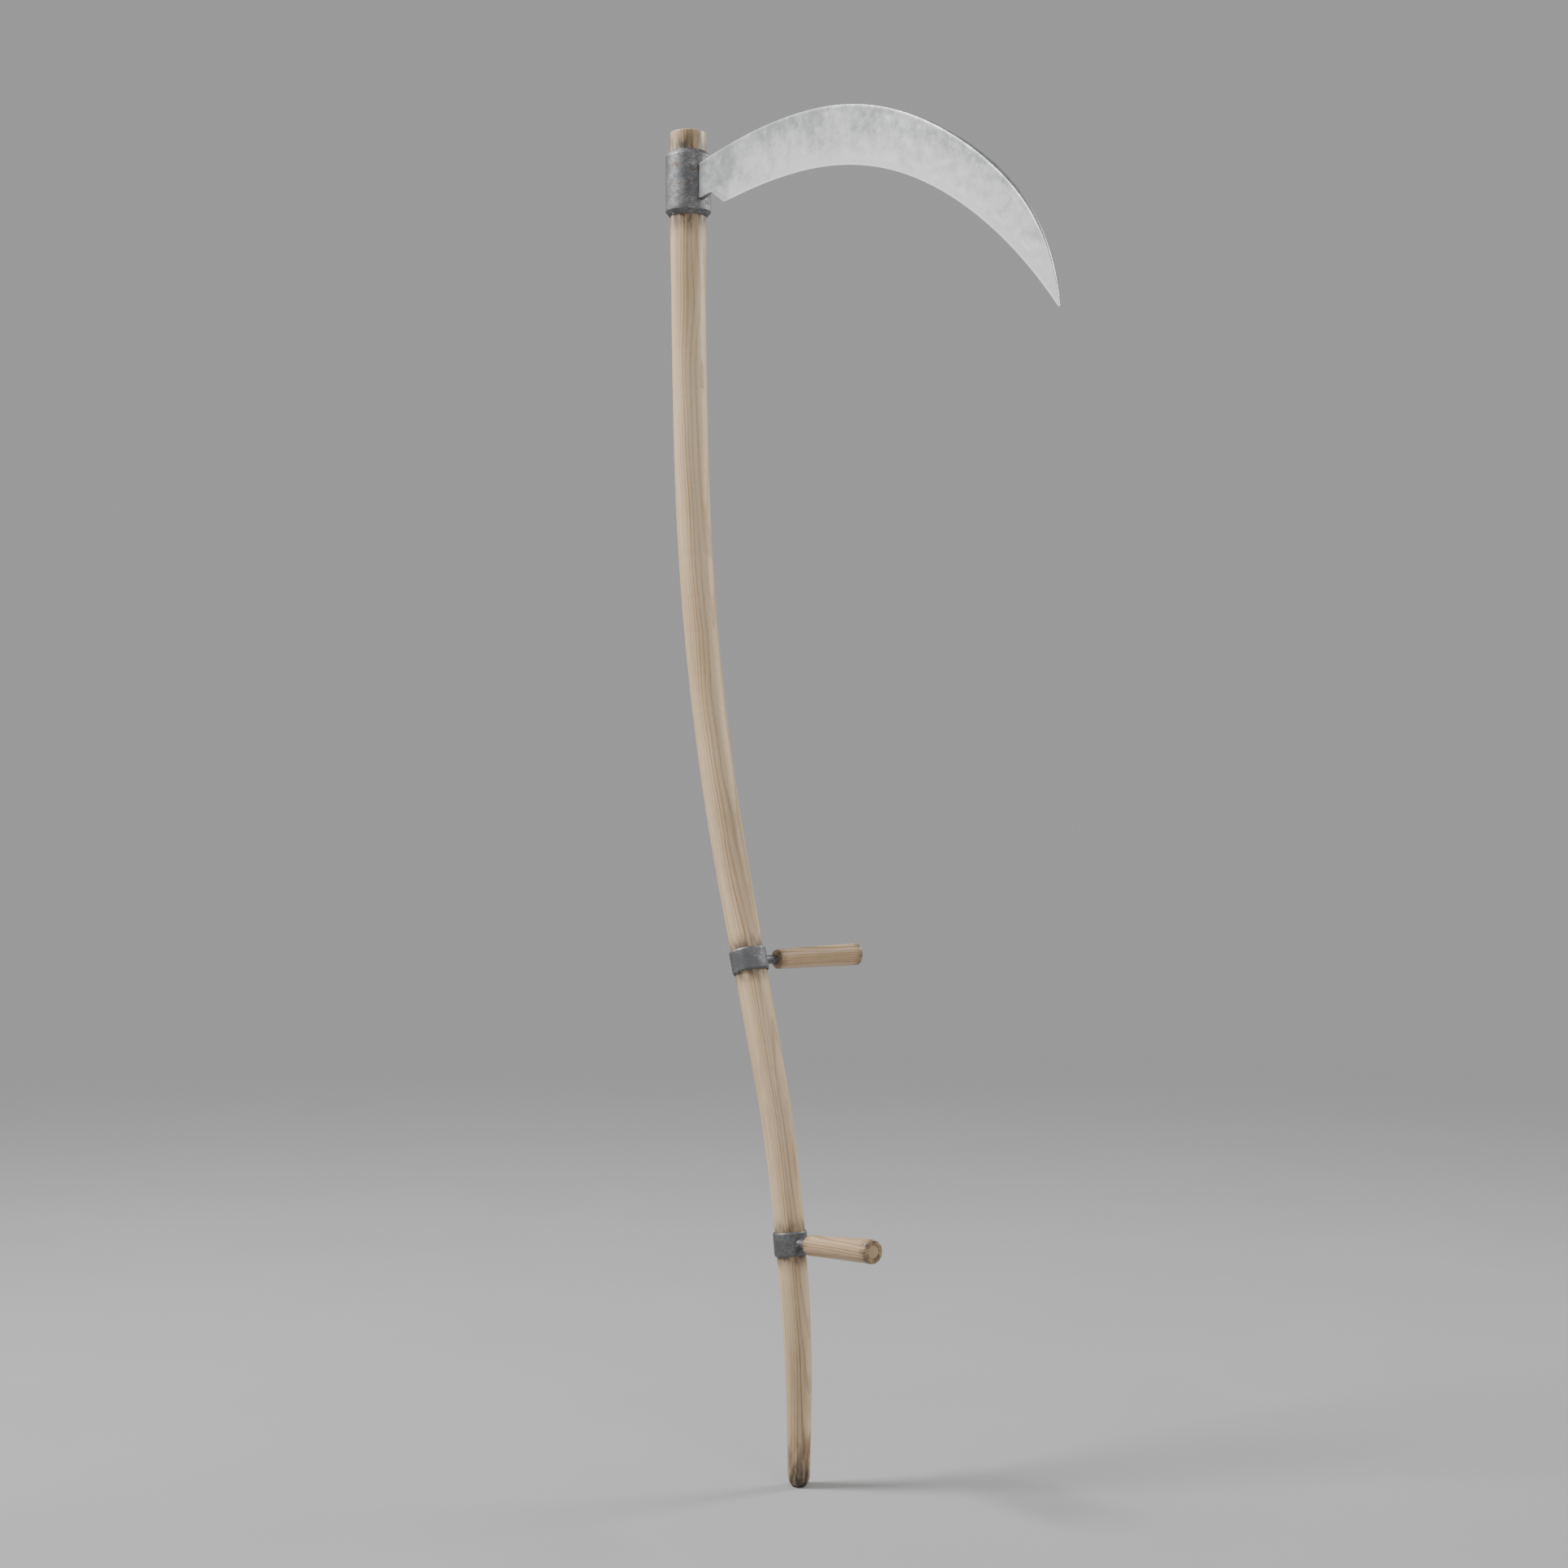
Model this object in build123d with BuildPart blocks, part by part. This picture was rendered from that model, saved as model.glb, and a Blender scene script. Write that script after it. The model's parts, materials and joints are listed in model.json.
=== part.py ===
from build123d import *

import os
from math import cos, radians, sin

os.makedirs("parts", exist_ok=True)

# A hand scythe standing on the butt of its pole. Millimetres.
# +Z up the pole, +X the way the blade points, origin at the flat of the butt.
# A lean is the angle in degrees from the vertical, positive where the pole climbs towards -X.

# Pole: straight and bent runs from the butt to the head
BUTT_RUN = 92.2
LOWER_BEND = 994.0
LOWER_LEAN = 8.2
LOWER_SEAT_RUN = 64.0
MIDDLE_BEND = 1042.0
UPPER_LEAN = 18.28
UPPER_SEAT_RUN = 224.0
SHOULDER_BEND = 1957.0
SHOULDER_LEAN = 2.74
NECK_BEND = 5915.0
FLARE_LEAN = 0.8
POLE_TOP = 1606.5

# Pole: radius at the ends of those runs
BUTT_FLAT = 5.5
BUTT_ROUND = 12.0
BUTT_RADIUS = 13.1
HANDLE_FOOT = 14.8
LOWER_SEAT_FOOT = 17.2
LOWER_SEAT_TOP = 17.75
UPPER_SEAT_FOOT = 19.05
UPPER_SEAT_TOP = 20.3
SHAFT_RADIUS = 21.25
HEAD_RADIUS = 22.45
STUB_RADIUS = 22.15
STUB_EDGE = 1.0
BEND_STEPS = 6

# Collar round the head of the pole
COLLAR_BOTTOM = 1503.5
COLLAR_TOP = 1582.5
COLLAR_RADIUS = 28.25
COLLAR_BORE = 22.5
RIM_HEIGHT = 5.6
RIM_DEPTH = 5.2

# Blade tang, its wedge and the slots they go through. The middle of the tang crosses the pole's
# axis a little below the blade's own level.
BLADE_LEVEL = 1539.5
TANG_DROP = 2.2
TANG_RISE = 8.5
TANG_THICKNESS = 8.0
TANG_HEIGHT = 42.0
TANG_INNER_END = -16.0
TANG_OUTER_END = 45.0
SLOT_GAP = 0.2
WEDGE_HEIGHT = 36.0
WEDGE_THICK_END = 6.0
WEDGE_THIN_END = 4.6
WEDGE_INNER_END = 16.0
WEDGE_OUTER_END = -34.0
WEDGE_GAP = 0.05

# Nails that hold the collar, on the side away from the tang
NAIL_TURN = 145.0
NAIL_LEVELS = {"bottom": 1513.0, "top": 1573.0}
NAIL_RADIUS = 1.5
NAIL_TIP = 10.0
NAIL_HEAD_RADIUS = 3.2
NAIL_HEAD_HEIGHT = 1.2

# Blade, measured out from the pole's axis and up from BLADE_LEVEL
WEB_THICKNESS = 2.2
BEVEL_DEPTH = 1.7
BEVEL_WIDTH = 7.0
RIB_SHIFT = (-5.0, -8.5)
BEARD_ROOT = (56.0, -15.8)
HEEL = (85.3, -34.2)
EDGE_SHAPE = [(211.0, -28.0), (310.0, -35.6), (418.0, -63.0), (520.0, -112.0), (608.0, -175.0)]
TIP = (686.0, -252.0)
SPINE_SHAPE = [(643.0, -149.0), (560.0, -72.5), (452.0, -10.5), (343.0, 25.8), (223.0, 39.2)]
SPINE_ROOT = (36.0, 24.6)
POINT_TAPER = 90.0
POINT_THICKNESS = 1.0
SHOULDER_OUT = 112.0
SHOULDER_HEIGHT = 50.0

# Ring bolts: a ring round the pole, forged in one with the rod that carries the grip
RING_HEIGHT = 27.5
RING_WALL = 1.5
RING_RIM_HEIGHT = 2.0
RING_RIM_DEPTH = 0.9
LINER_HEIGHT = 26.5
LINER_THICKNESS = 0.6
LINER_GAP = 2.0
FIT = 0.05
ROD_RADIUS = 5.2
SPINDLE_RADIUS = 4.0
SPINDLE_END = 153.5

# Seats of the ring bolts: height on the pole, turn of the rod from +Y about the pole, how far the
# rod droops below square to the pole, and turn of the set screw from the rod
SEATS = {"upper": (599.5, 0.0, 0.0, 55.0), "lower": (278.0, -90.0, 1.8, 145.0)}

# Set screw in the boss of each ring bolt
BOSS_RADIUS = 5.2
BOSS_HEIGHT = 5.0
SCREW_HOLE = 2.55
SCREW_RADIUS = 2.5
SCREW_HEAD_GAP = 0.8
SCREW_HEAD_WIDTH = 7.6
SCREW_HEAD_HEIGHT = 4.0
PAD_RADIUS = 2.45
PAD_THICKNESS = 1.2

# Turned grips, with the washer, nut and plug in the recess of the free end
GRIP_START = 39.0
GRIP_LENGTH = 120.5
GRIP_INNER_RADIUS = 11.8
GRIP_OUTER_RADIUS = 13.6
GRIP_EDGE = 2.0
GRIP_BORE = 4.08
SHOULDER_GAP = 0.1
RECESS_RADIUS = 7.0
RECESS_DEPTH = 14.0
WASHER_RADIUS = 6.5
WASHER_THICKNESS = 1.4
NUT_RADIUS = 6.35
NUT_THICKNESS = 6.0
PLUG_THICKNESS = 3.0
PLUG_RADIUS = 6.98


def straight_run(start, length, end_radius):
    """Stations (x, z, lean, radius) at the two ends of a straight piece of the pole."""
    x, z, lean, _ = start
    end = (x - length * sin(radians(lean)), z + length * cos(radians(lean)), lean, end_radius)
    return [start, end]


def bent_run(start, bend_radius, end_lean, end_radius):
    """Stations along a circular arc of the pole."""
    x, z, lean, radius = start
    turn = 1 if end_lean > lean else -1
    stations = []
    for step in range(BEND_STEPS + 1):
        share = step / BEND_STEPS
        here = lean + (end_lean - lean) * share
        dx = turn * bend_radius * (cos(radians(here)) - cos(radians(lean)))
        dz = turn * bend_radius * (sin(radians(here)) - sin(radians(lean)))
        stations.append((x + dx, z + dz, here, radius + (end_radius - radius) * share))
    return stations


def station_plane(station):
    """The plane across the pole at a station, its normal up the pole."""
    x, z, lean, _ = station
    normal = (-sin(radians(lean)), 0, cos(radians(lean)))
    return Plane(origin=(x, 0, z), x_dir=(0, 1, 0), z_dir=normal)


def along(stations, height):
    """The station at a height within a straight run."""
    (x0, z0, lean, r0), (x1, z1, _, r1) = stations
    share = (height - z0) / (z1 - z0)
    return (x0 + (x1 - x0) * share, height, lean, r0 + (r1 - r0) * share)


def save(piece, node):
    """Label a finished piece and write it as its own STEP file."""
    piece.part.label = node
    export_step(piece.part, f"parts/{node}.step")


# The pole's centreline
foot = (0, BUTT_RUN, 0, HANDLE_FOOT)
lower_bend = bent_run(foot, LOWER_BEND, LOWER_LEAN, LOWER_SEAT_FOOT)
lower_seat_run = straight_run(lower_bend[-1], LOWER_SEAT_RUN, LOWER_SEAT_TOP)
middle_bend = bent_run(lower_seat_run[-1], MIDDLE_BEND, UPPER_LEAN, UPPER_SEAT_FOOT)
upper_seat_run = straight_run(middle_bend[-1], UPPER_SEAT_RUN, UPPER_SEAT_TOP)
shoulder_bend = bent_run(upper_seat_run[-1], SHOULDER_BEND, SHOULDER_LEAN, SHAFT_RADIUS)
neck_bend = bent_run(shoulder_bend[-1], NECK_BEND, FLARE_LEAN, SHAFT_RADIUS)
flare = bent_run(neck_bend[-1], NECK_BEND, 0, HEAD_RADIUS)
HEAD_X = flare[-1][0]

# The tang's own frame: x out along the tang, y up, normal towards the blade's front
tang_out = Vector(cos(radians(TANG_RISE)), 0, sin(radians(TANG_RISE)))
tang_plane = Plane(origin=(HEAD_X, 0, BLADE_LEVEL - TANG_DROP), x_dir=tang_out, z_dir=(0, -1, 0))

# The wedge lies flat against the back of the tang
wedge_front = TANG_THICKNESS / 2 + WEDGE_GAP
wedge_plane = Plane(origin=tang_plane.origin, x_dir=tang_out, z_dir=tang_plane.y_dir)

# The blade's flat front
blade_front = (HEAD_X, -TANG_THICKNESS / 2, BLADE_LEVEL)
blade_plane = Plane(origin=blade_front, x_dir=(1, 0, 0), z_dir=(0, -1, 0))


def nail_plane(level):
    """Plane at the pole's axis whose normal points out along a collar nail."""
    turn = radians(NAIL_TURN)
    return Plane(origin=(HEAD_X, 0, level), x_dir=(0, 0, 1), z_dir=(cos(turn), sin(turn), 0))


# Pole
with BuildPart() as snath:
    with BuildSketch(Plane.XZ):
        with BuildLine():
            Polyline((BUTT_FLAT, 0), (0, 0), (0, BUTT_RUN), (HANDLE_FOOT, BUTT_RUN),
                     (BUTT_RADIUS, BUTT_ROUND))
            Bezier((BUTT_RADIUS, BUTT_ROUND), (BUTT_RADIUS - 0.4, 3.0), (BUTT_FLAT + 3.5, 0.6),
                   (BUTT_FLAT, 0))
        make_face()
    revolve(axis=Axis.Z)
    for run in [lower_bend, lower_seat_run, middle_bend, upper_seat_run, shoulder_bend,
                neck_bend, flare]:
        for station in run:
            with BuildSketch(station_plane(station)):
                Circle(station[3])
        loft()
    with BuildSketch(Plane((HEAD_X, 0, flare[-1][1]))):
        Circle(HEAD_RADIUS)
    extrude(amount=COLLAR_TOP - flare[-1][1])
    with BuildSketch(Plane((HEAD_X, 0, COLLAR_TOP))):
        Circle(STUB_RADIUS)
    extrude(amount=POLE_TOP - COLLAR_TOP)
    chamfer(snath.faces().sort_by(Axis.Z)[-1].edges(), STUB_EDGE)
    # mortise for the tang, then the slanting one beside it for the wedge
    with BuildSketch(tang_plane.offset(TANG_THICKNESS / 2 + SLOT_GAP)):
        with Locations((TANG_INNER_END - 1, 0)):
            Rectangle(60, TANG_HEIGHT + 2 * SLOT_GAP, align=(Align.MIN, Align.CENTER))
    extrude(amount=-TANG_THICKNESS - 2 * SLOT_GAP, mode=Mode.SUBTRACT)
    with BuildSketch(wedge_plane.offset(-WEDGE_HEIGHT / 2 - SLOT_GAP)):
        Polygon((WEDGE_INNER_END + 1, 0), (WEDGE_OUTER_END, 0),
                (WEDGE_OUTER_END, wedge_front + WEDGE_THICK_END + WEDGE_GAP),
                (WEDGE_INNER_END + 1, wedge_front + WEDGE_THIN_END + WEDGE_GAP), align=None)
    extrude(amount=WEDGE_HEIGHT + 2 * SLOT_GAP, mode=Mode.SUBTRACT)
    for level in NAIL_LEVELS.values():
        with BuildSketch(nail_plane(level).offset(NAIL_TIP)):
            Circle(NAIL_RADIUS)
        extrude(amount=COLLAR_RADIUS, mode=Mode.SUBTRACT)
save(snath, "snath")

# Collar, bevelled at both rims, with a slot for the tang and one behind it for the wedge
with BuildPart() as head_collar:
    with BuildSketch(Plane((HEAD_X, 0, COLLAR_BOTTOM))):
        Circle(COLLAR_RADIUS)
        Circle(COLLAR_BORE, mode=Mode.SUBTRACT)
    extrude(amount=COLLAR_TOP - COLLAR_BOTTOM)
    outer_rims = head_collar.edges().filter_by(GeomType.CIRCLE).sort_by(SortBy.RADIUS)[-2:]
    for rim, flat in [(outer_rims.sort_by(Axis.Z)[0], head_collar.faces().sort_by(Axis.Z)[0]),
                      (outer_rims.sort_by(Axis.Z)[-1], head_collar.faces().sort_by(Axis.Z)[-1])]:
        chamfer(rim, RIM_DEPTH, RIM_HEIGHT, reference=flat)
    with BuildSketch(tang_plane.offset(TANG_THICKNESS / 2 + SLOT_GAP)):
        Rectangle(60, TANG_HEIGHT + 2 * SLOT_GAP, align=(Align.MIN, Align.CENTER))
    extrude(amount=-TANG_THICKNESS - 2 * SLOT_GAP, mode=Mode.SUBTRACT)
    with BuildSketch(wedge_plane.offset(-WEDGE_HEIGHT / 2 - SLOT_GAP)):
        with Locations((0, wedge_front - SLOT_GAP)):
            Rectangle(60, WEDGE_THICK_END + 2 * SLOT_GAP, align=(Align.MAX, Align.MIN))
    extrude(amount=WEDGE_HEIGHT + 2 * SLOT_GAP, mode=Mode.SUBTRACT)
    for level in NAIL_LEVELS.values():
        with BuildSketch(nail_plane(level)):
            Circle(NAIL_RADIUS)
        extrude(amount=COLLAR_RADIUS + 5, mode=Mode.SUBTRACT)
save(head_collar, "head_collar")

# Nails driven through the collar into the pole
for name, level in NAIL_LEVELS.items():
    with BuildPart() as collar_nail:
        with BuildSketch(nail_plane(level).offset(NAIL_TIP)):
            Circle(0.4)
        with BuildSketch(nail_plane(level).offset(NAIL_TIP + 6)):
            Circle(NAIL_RADIUS)
        loft()
        with BuildSketch(nail_plane(level).offset(NAIL_TIP + 6)):
            Circle(NAIL_RADIUS)
        extrude(amount=COLLAR_RADIUS - NAIL_TIP - 6)
        with BuildSketch(nail_plane(level).offset(COLLAR_RADIUS)):
            Circle(NAIL_HEAD_RADIUS)
        extrude(amount=NAIL_HEAD_HEIGHT, taper=30)
    save(collar_nail, f"collar_nail_{name}")

# Wedge driven in behind the tang
with BuildPart() as tang_wedge:
    with BuildSketch(wedge_plane.offset(-WEDGE_HEIGHT / 2)):
        Polygon((WEDGE_INNER_END, wedge_front), (WEDGE_OUTER_END, wedge_front),
                (WEDGE_OUTER_END, wedge_front + WEDGE_THICK_END),
                (WEDGE_INNER_END, wedge_front + WEDGE_THIN_END), align=None)
    extrude(amount=WEDGE_HEIGHT)
save(tang_wedge, "tang_wedge")

# Blade: a thin web with a flat front, a thick rib along the back edge, and the tang
with BuildPart() as blade:
    with BuildSketch(blade_plane) as outline:
        with BuildLine():
            edge = Spline(HEEL, *EDGE_SHAPE, TIP)
            spine = Spline(TIP, *SPINE_SHAPE, SPINE_ROOT)
            Polyline(SPINE_ROOT, (SPINE_ROOT[0], BEARD_ROOT[1] - 3), BEARD_ROOT, HEEL)
        make_face()
    extrude(amount=-WEB_THICKNESS)
    # ground bevel behind the cutting edge
    rear = blade.faces().filter_by(Plane.XZ).sort_by(Axis.Y)[-1]
    rear_curves = rear.edges().filter_by(GeomType.BSPLINE)
    chamfer(rear_curves.sort_by(Axis.Z)[0], BEVEL_WIDTH, BEVEL_DEPTH, reference=rear)
    with BuildSketch(blade_plane):
        add(outline.sketch_local)
        with Locations(RIB_SHIFT):
            add(outline.sketch_local, mode=Mode.SUBTRACT)
    extrude(amount=-TANG_THICKNESS)
    # tang, and the forged shoulder where it thins out into the web
    with BuildSketch(tang_plane.offset(TANG_THICKNESS / 2)):
        with Locations((TANG_INNER_END, 0)):
            Rectangle(TANG_OUTER_END - TANG_INNER_END, TANG_HEIGHT,
                      align=(Align.MIN, Align.CENTER))
    extrude(amount=-TANG_THICKNESS)
    shoulder_start = Plane(tang_plane.origin + tang_out * TANG_OUTER_END, x_dir=(0, 1, 0),
                           z_dir=tang_out)
    shoulder_end = Plane((HEAD_X + SHOULDER_OUT, 0, BLADE_LEVEL), x_dir=(0, 1, 0), z_dir=(1, 0, 0))
    with BuildSketch(shoulder_start):
        Rectangle(TANG_THICKNESS, TANG_HEIGHT)
    with BuildSketch(shoulder_end):
        with Locations((-TANG_THICKNESS / 2, 6)):
            Rectangle(WEB_THICKNESS, SHOULDER_HEIGHT, align=(Align.MIN, Align.CENTER))
    loft()
    # the back thins towards the point
    with BuildSketch(Plane.XY.offset(BLADE_LEVEL + TIP[1] - 5)):
        taper_foot = HEAD_X + TIP[0] - POINT_TAPER
        Polygon((taper_foot, TANG_THICKNESS / 2), (HEAD_X + TIP[0] + 5, TANG_THICKNESS / 2),
                (HEAD_X + TIP[0] + 5, POINT_THICKNESS - TANG_THICKNESS / 2),
                (HEAD_X + TIP[0], POINT_THICKNESS - TANG_THICKNESS / 2), align=None)
    extrude(amount=-TIP[1], mode=Mode.SUBTRACT)
save(blade, "blade")


def seat_plane(station, rod_turn):
    """The plane across the pole at a ring bolt, its x out along the rod."""
    across = station_plane(station)
    out = across.x_dir.rotate(Axis(across.origin, across.z_dir), rod_turn)
    return Plane(origin=across.origin, x_dir=out, z_dir=across.z_dir)


def drooped(seat, droop):
    """The seat's plane tipped so that x points down along a rod that droops."""
    rod = seat.x_dir * cos(radians(droop)) - seat.z_dir * sin(radians(droop))
    up = seat.x_dir * sin(radians(droop)) + seat.z_dir * cos(radians(droop))
    return Plane(origin=seat.origin, x_dir=rod, z_dir=up)


def spoke_plane(seat, turn=0.0):
    """Plane at a seat's centre whose normal points out from the pole, turned about the pole."""
    out = seat.x_dir * cos(radians(turn)) + seat.y_dir * sin(radians(turn))
    return Plane(origin=seat.origin, x_dir=seat.z_dir, z_dir=out)


def section_plane(seat):
    """Plane through the pole's axis and the rod: x out along the rod, y up the pole."""
    return Plane(origin=seat.origin, x_dir=seat.x_dir, z_dir=seat.x_dir.cross(seat.z_dir))


def make_liner(seat, foot_radius, top_radius, outer_radius):
    """A strip of leather wrapped round the pole, its ends nearly meeting behind the rod."""
    half = LINER_HEIGHT / 2
    with BuildPart() as liner:
        with BuildSketch(section_plane(seat)):
            Polygon((foot_radius + FIT, -half), (outer_radius, -half), (outer_radius, half),
                    (top_radius + FIT, half), align=None)
        revolve(axis=Axis(seat.origin, seat.z_dir))
        with BuildSketch(spoke_plane(seat, 180)):
            Rectangle(LINER_HEIGHT + 1, LINER_GAP)
        extrude(amount=outer_radius + 1, mode=Mode.SUBTRACT)
    return liner


def make_ring_bolt(seat, rod_seat, bore, screw_turn):
    """The ring, its grip rod with a shoulder and a thinner spindle, and the screw's boss."""
    half = RING_HEIGHT / 2
    outer = bore + RING_WALL
    with BuildPart() as ring_bolt:
        with BuildSketch(section_plane(seat)):
            Polygon((bore, -half), (outer - RING_RIM_DEPTH, -half), (outer, RING_RIM_HEIGHT - half),
                    (outer, half - RING_RIM_HEIGHT), (outer - RING_RIM_DEPTH, half), (bore, half),
                    align=None)
        revolve(axis=Axis(seat.origin, seat.z_dir))
        with BuildSketch(section_plane(rod_seat)):
            Polygon((bore + 0.4, 0), (bore + 0.4, ROD_RADIUS),
                    (GRIP_START - SHOULDER_GAP, ROD_RADIUS),
                    (GRIP_START - SHOULDER_GAP, SPINDLE_RADIUS),
                    (SPINDLE_END - 0.8, SPINDLE_RADIUS), (SPINDLE_END, SPINDLE_RADIUS - 0.8),
                    (SPINDLE_END, 0), align=None)
        revolve(axis=Axis(rod_seat.origin, rod_seat.x_dir))
        with BuildSketch(spoke_plane(seat, screw_turn).offset(bore + 0.4)):
            Circle(BOSS_RADIUS)
        extrude(amount=outer + BOSS_HEIGHT - bore - 0.4)
        with BuildSketch(spoke_plane(seat, screw_turn).offset(bore / 2)):
            Circle(SCREW_HOLE)
        extrude(amount=bore, mode=Mode.SUBTRACT)
    return ring_bolt


def make_set_screw(seat, bore, screw_turn):
    """A square-headed screw through the boss, down to the pad."""
    tip = bore + PAD_THICKNESS + FIT
    head_at = bore + RING_WALL + BOSS_HEIGHT + SCREW_HEAD_GAP
    with BuildPart() as set_screw:
        with BuildSketch(spoke_plane(seat, screw_turn).offset(tip)):
            Circle(SCREW_RADIUS)
        extrude(amount=head_at - tip)
        with BuildSketch(spoke_plane(seat, screw_turn).offset(head_at)):
            Rectangle(SCREW_HEAD_WIDTH, SCREW_HEAD_WIDTH)
        extrude(amount=SCREW_HEAD_HEIGHT)
        head_top = set_screw.faces().sort_by(Axis(seat.origin, spoke_plane(seat, screw_turn).z_dir))
        chamfer(head_top[-1].edges(), 0.6)
    return set_screw


def make_screw_pad(seat, bore, screw_turn):
    """The little disc between the screw's tip and the leather."""
    with BuildPart() as screw_pad:
        with BuildSketch(spoke_plane(seat, screw_turn).offset(bore)):
            Circle(PAD_RADIUS)
        extrude(amount=PAD_THICKNESS)
    return screw_pad


def make_grip(seat):
    """A turned grip, thicker at its free end, bored for the spindle and recessed for the nut."""
    end = GRIP_START + GRIP_LENGTH
    with BuildPart() as grip:
        with BuildSketch(section_plane(seat)):
            Polygon((GRIP_START, GRIP_BORE), (GRIP_START, GRIP_INNER_RADIUS - GRIP_EDGE),
                    (GRIP_START + GRIP_EDGE, GRIP_INNER_RADIUS),
                    (end - GRIP_EDGE, GRIP_OUTER_RADIUS), (end, GRIP_OUTER_RADIUS - GRIP_EDGE),
                    (end, RECESS_RADIUS), (end - RECESS_DEPTH, RECESS_RADIUS),
                    (end - RECESS_DEPTH, GRIP_BORE), align=None)
        revolve(axis=Axis(seat.origin, seat.x_dir))
    return grip


def make_washer(seat):
    """The washer between the grip's recess and the nut."""
    with BuildPart() as washer:
        floor = GRIP_START + GRIP_LENGTH - RECESS_DEPTH + SHOULDER_GAP
        with BuildSketch(spoke_plane(seat).offset(floor)):
            Circle(WASHER_RADIUS)
            Circle(SPINDLE_RADIUS + FIT, mode=Mode.SUBTRACT)
        extrude(amount=WASHER_THICKNESS)
    return washer


def make_nut(seat):
    """The hexagonal nut on the end of the spindle."""
    with BuildPart() as nut:
        floor = GRIP_START + GRIP_LENGTH - RECESS_DEPTH + SHOULDER_GAP + WASHER_THICKNESS
        with BuildSketch(spoke_plane(seat).offset(floor)):
            RegularPolygon(NUT_RADIUS, 6)
            Circle(SPINDLE_RADIUS + FIT, mode=Mode.SUBTRACT)
        extrude(amount=NUT_THICKNESS)
    return nut


def make_plug(seat):
    """The wooden plug that closes the recess flush."""
    with BuildPart() as plug:
        with BuildSketch(spoke_plane(seat).offset(GRIP_START + GRIP_LENGTH - PLUG_THICKNESS)):
            Circle(PLUG_RADIUS)
        extrude(amount=PLUG_THICKNESS)
    return plug


# The upper grip points towards +Y, the lower one towards +X
for side, (level, rod_turn, droop, screw_turn) in SEATS.items():
    run = {"upper": upper_seat_run, "lower": lower_seat_run}[side]
    centre = along(run, level)
    seat = seat_plane(centre, rod_turn)
    rod_seat = drooped(seat, droop)
    tilt = cos(radians(centre[2])) * LINER_HEIGHT / 2
    foot_radius = along(run, level - tilt)[3]
    top_radius = along(run, level + tilt)[3]
    liner_radius = top_radius + FIT + LINER_THICKNESS
    bore = liner_radius + FIT
    save(make_liner(seat, foot_radius, top_radius, liner_radius), f"{side}_liner")
    save(make_ring_bolt(seat, rod_seat, bore, screw_turn), f"{side}_ring_bolt")
    save(make_set_screw(seat, bore, screw_turn), f"{side}_set_screw")
    save(make_screw_pad(seat, bore, screw_turn), f"{side}_screw_pad")
    save(make_grip(rod_seat), f"{side}_grip")
    save(make_washer(rod_seat), f"{side}_washer")
    save(make_nut(rod_seat), f"{side}_nut")
    save(make_plug(rod_seat), f"{side}_plug")
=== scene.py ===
import json
import math

import bmesh
import bpy
from mathutils import Matrix, Vector, noise
from mathutils.bvhtree import BVHTree


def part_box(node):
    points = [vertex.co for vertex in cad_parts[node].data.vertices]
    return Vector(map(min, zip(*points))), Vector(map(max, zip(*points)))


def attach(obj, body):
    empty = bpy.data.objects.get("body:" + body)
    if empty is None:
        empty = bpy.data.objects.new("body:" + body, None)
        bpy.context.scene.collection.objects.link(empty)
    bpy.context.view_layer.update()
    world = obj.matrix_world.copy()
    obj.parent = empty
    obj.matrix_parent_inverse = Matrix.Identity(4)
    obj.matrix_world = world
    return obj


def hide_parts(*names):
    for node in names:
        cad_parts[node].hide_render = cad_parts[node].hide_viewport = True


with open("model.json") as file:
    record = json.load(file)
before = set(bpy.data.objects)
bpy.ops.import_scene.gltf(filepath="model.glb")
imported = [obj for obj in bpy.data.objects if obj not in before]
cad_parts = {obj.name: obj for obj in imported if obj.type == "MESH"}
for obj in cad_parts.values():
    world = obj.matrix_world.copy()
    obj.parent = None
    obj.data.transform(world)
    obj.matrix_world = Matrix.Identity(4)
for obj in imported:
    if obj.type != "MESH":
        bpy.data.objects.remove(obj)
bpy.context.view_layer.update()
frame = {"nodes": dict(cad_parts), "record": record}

RECORD = frame["record"]
JOINTS = {joint["name"]: joint for joint in RECORD["behaviour"]["joints"]}
MOUNTS = {mount["name"]: mount for mount in RECORD["mounts"]}
BOX = {node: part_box(node) for node in frame["nodes"]}
MM = 0.001

# Backdrop and floor
BACKDROP = (0.36, 0.36, 0.36)
FLOOR_TONE = (0.36, 0.36, 0.36)
FLOOR_TONE_2 = (0.33, 0.33, 0.33)
FLOOR_FADE = (0.7, 4.5)

# Camera: 54 mm lens on a 36 mm frame, a little above the middle of the pole
CAMERA_AT = (2.208, -1.567, 0.8548)
CAMERA_LOOKS = (-0.8192, 0.5736, -0.0162)
LENS = 54.04

# Pole
STATION_STEP = 4 * MM
POLE_SIDES = 80
HEAD_STRAIGHT = 1492 * MM
SHAVED_DEPTH = 0.16 * MM

# Stain on the pole: (how dark, how far it reaches). A ring's edge and a hand's usual place are
# distances from the middle of the ring.
COLLAR_STAIN = (0.85, 32 * MM)
RING_STAIN = (0.70, 22 * MM)
BUTT_STAIN = (0.85, 85 * MM)
HAND_STAIN = (0.13, 110 * MM)
RING_EDGE = 13 * MM
HAND_DISTANCE = 150 * MM

# Tang, wedge and their slots
TANG_HEIGHT = 42 * MM
TANG_INNER_END = -16 * MM
WEDGE_THIN_END = 4.6 * MM
WEDGE_BEVEL = 0.8 * MM
WEDGE_CUTS = 14
WEDGE_HAMMER_DEPTH = 0.25 * MM
SLOT_GAP = 0.2 * MM

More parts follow.
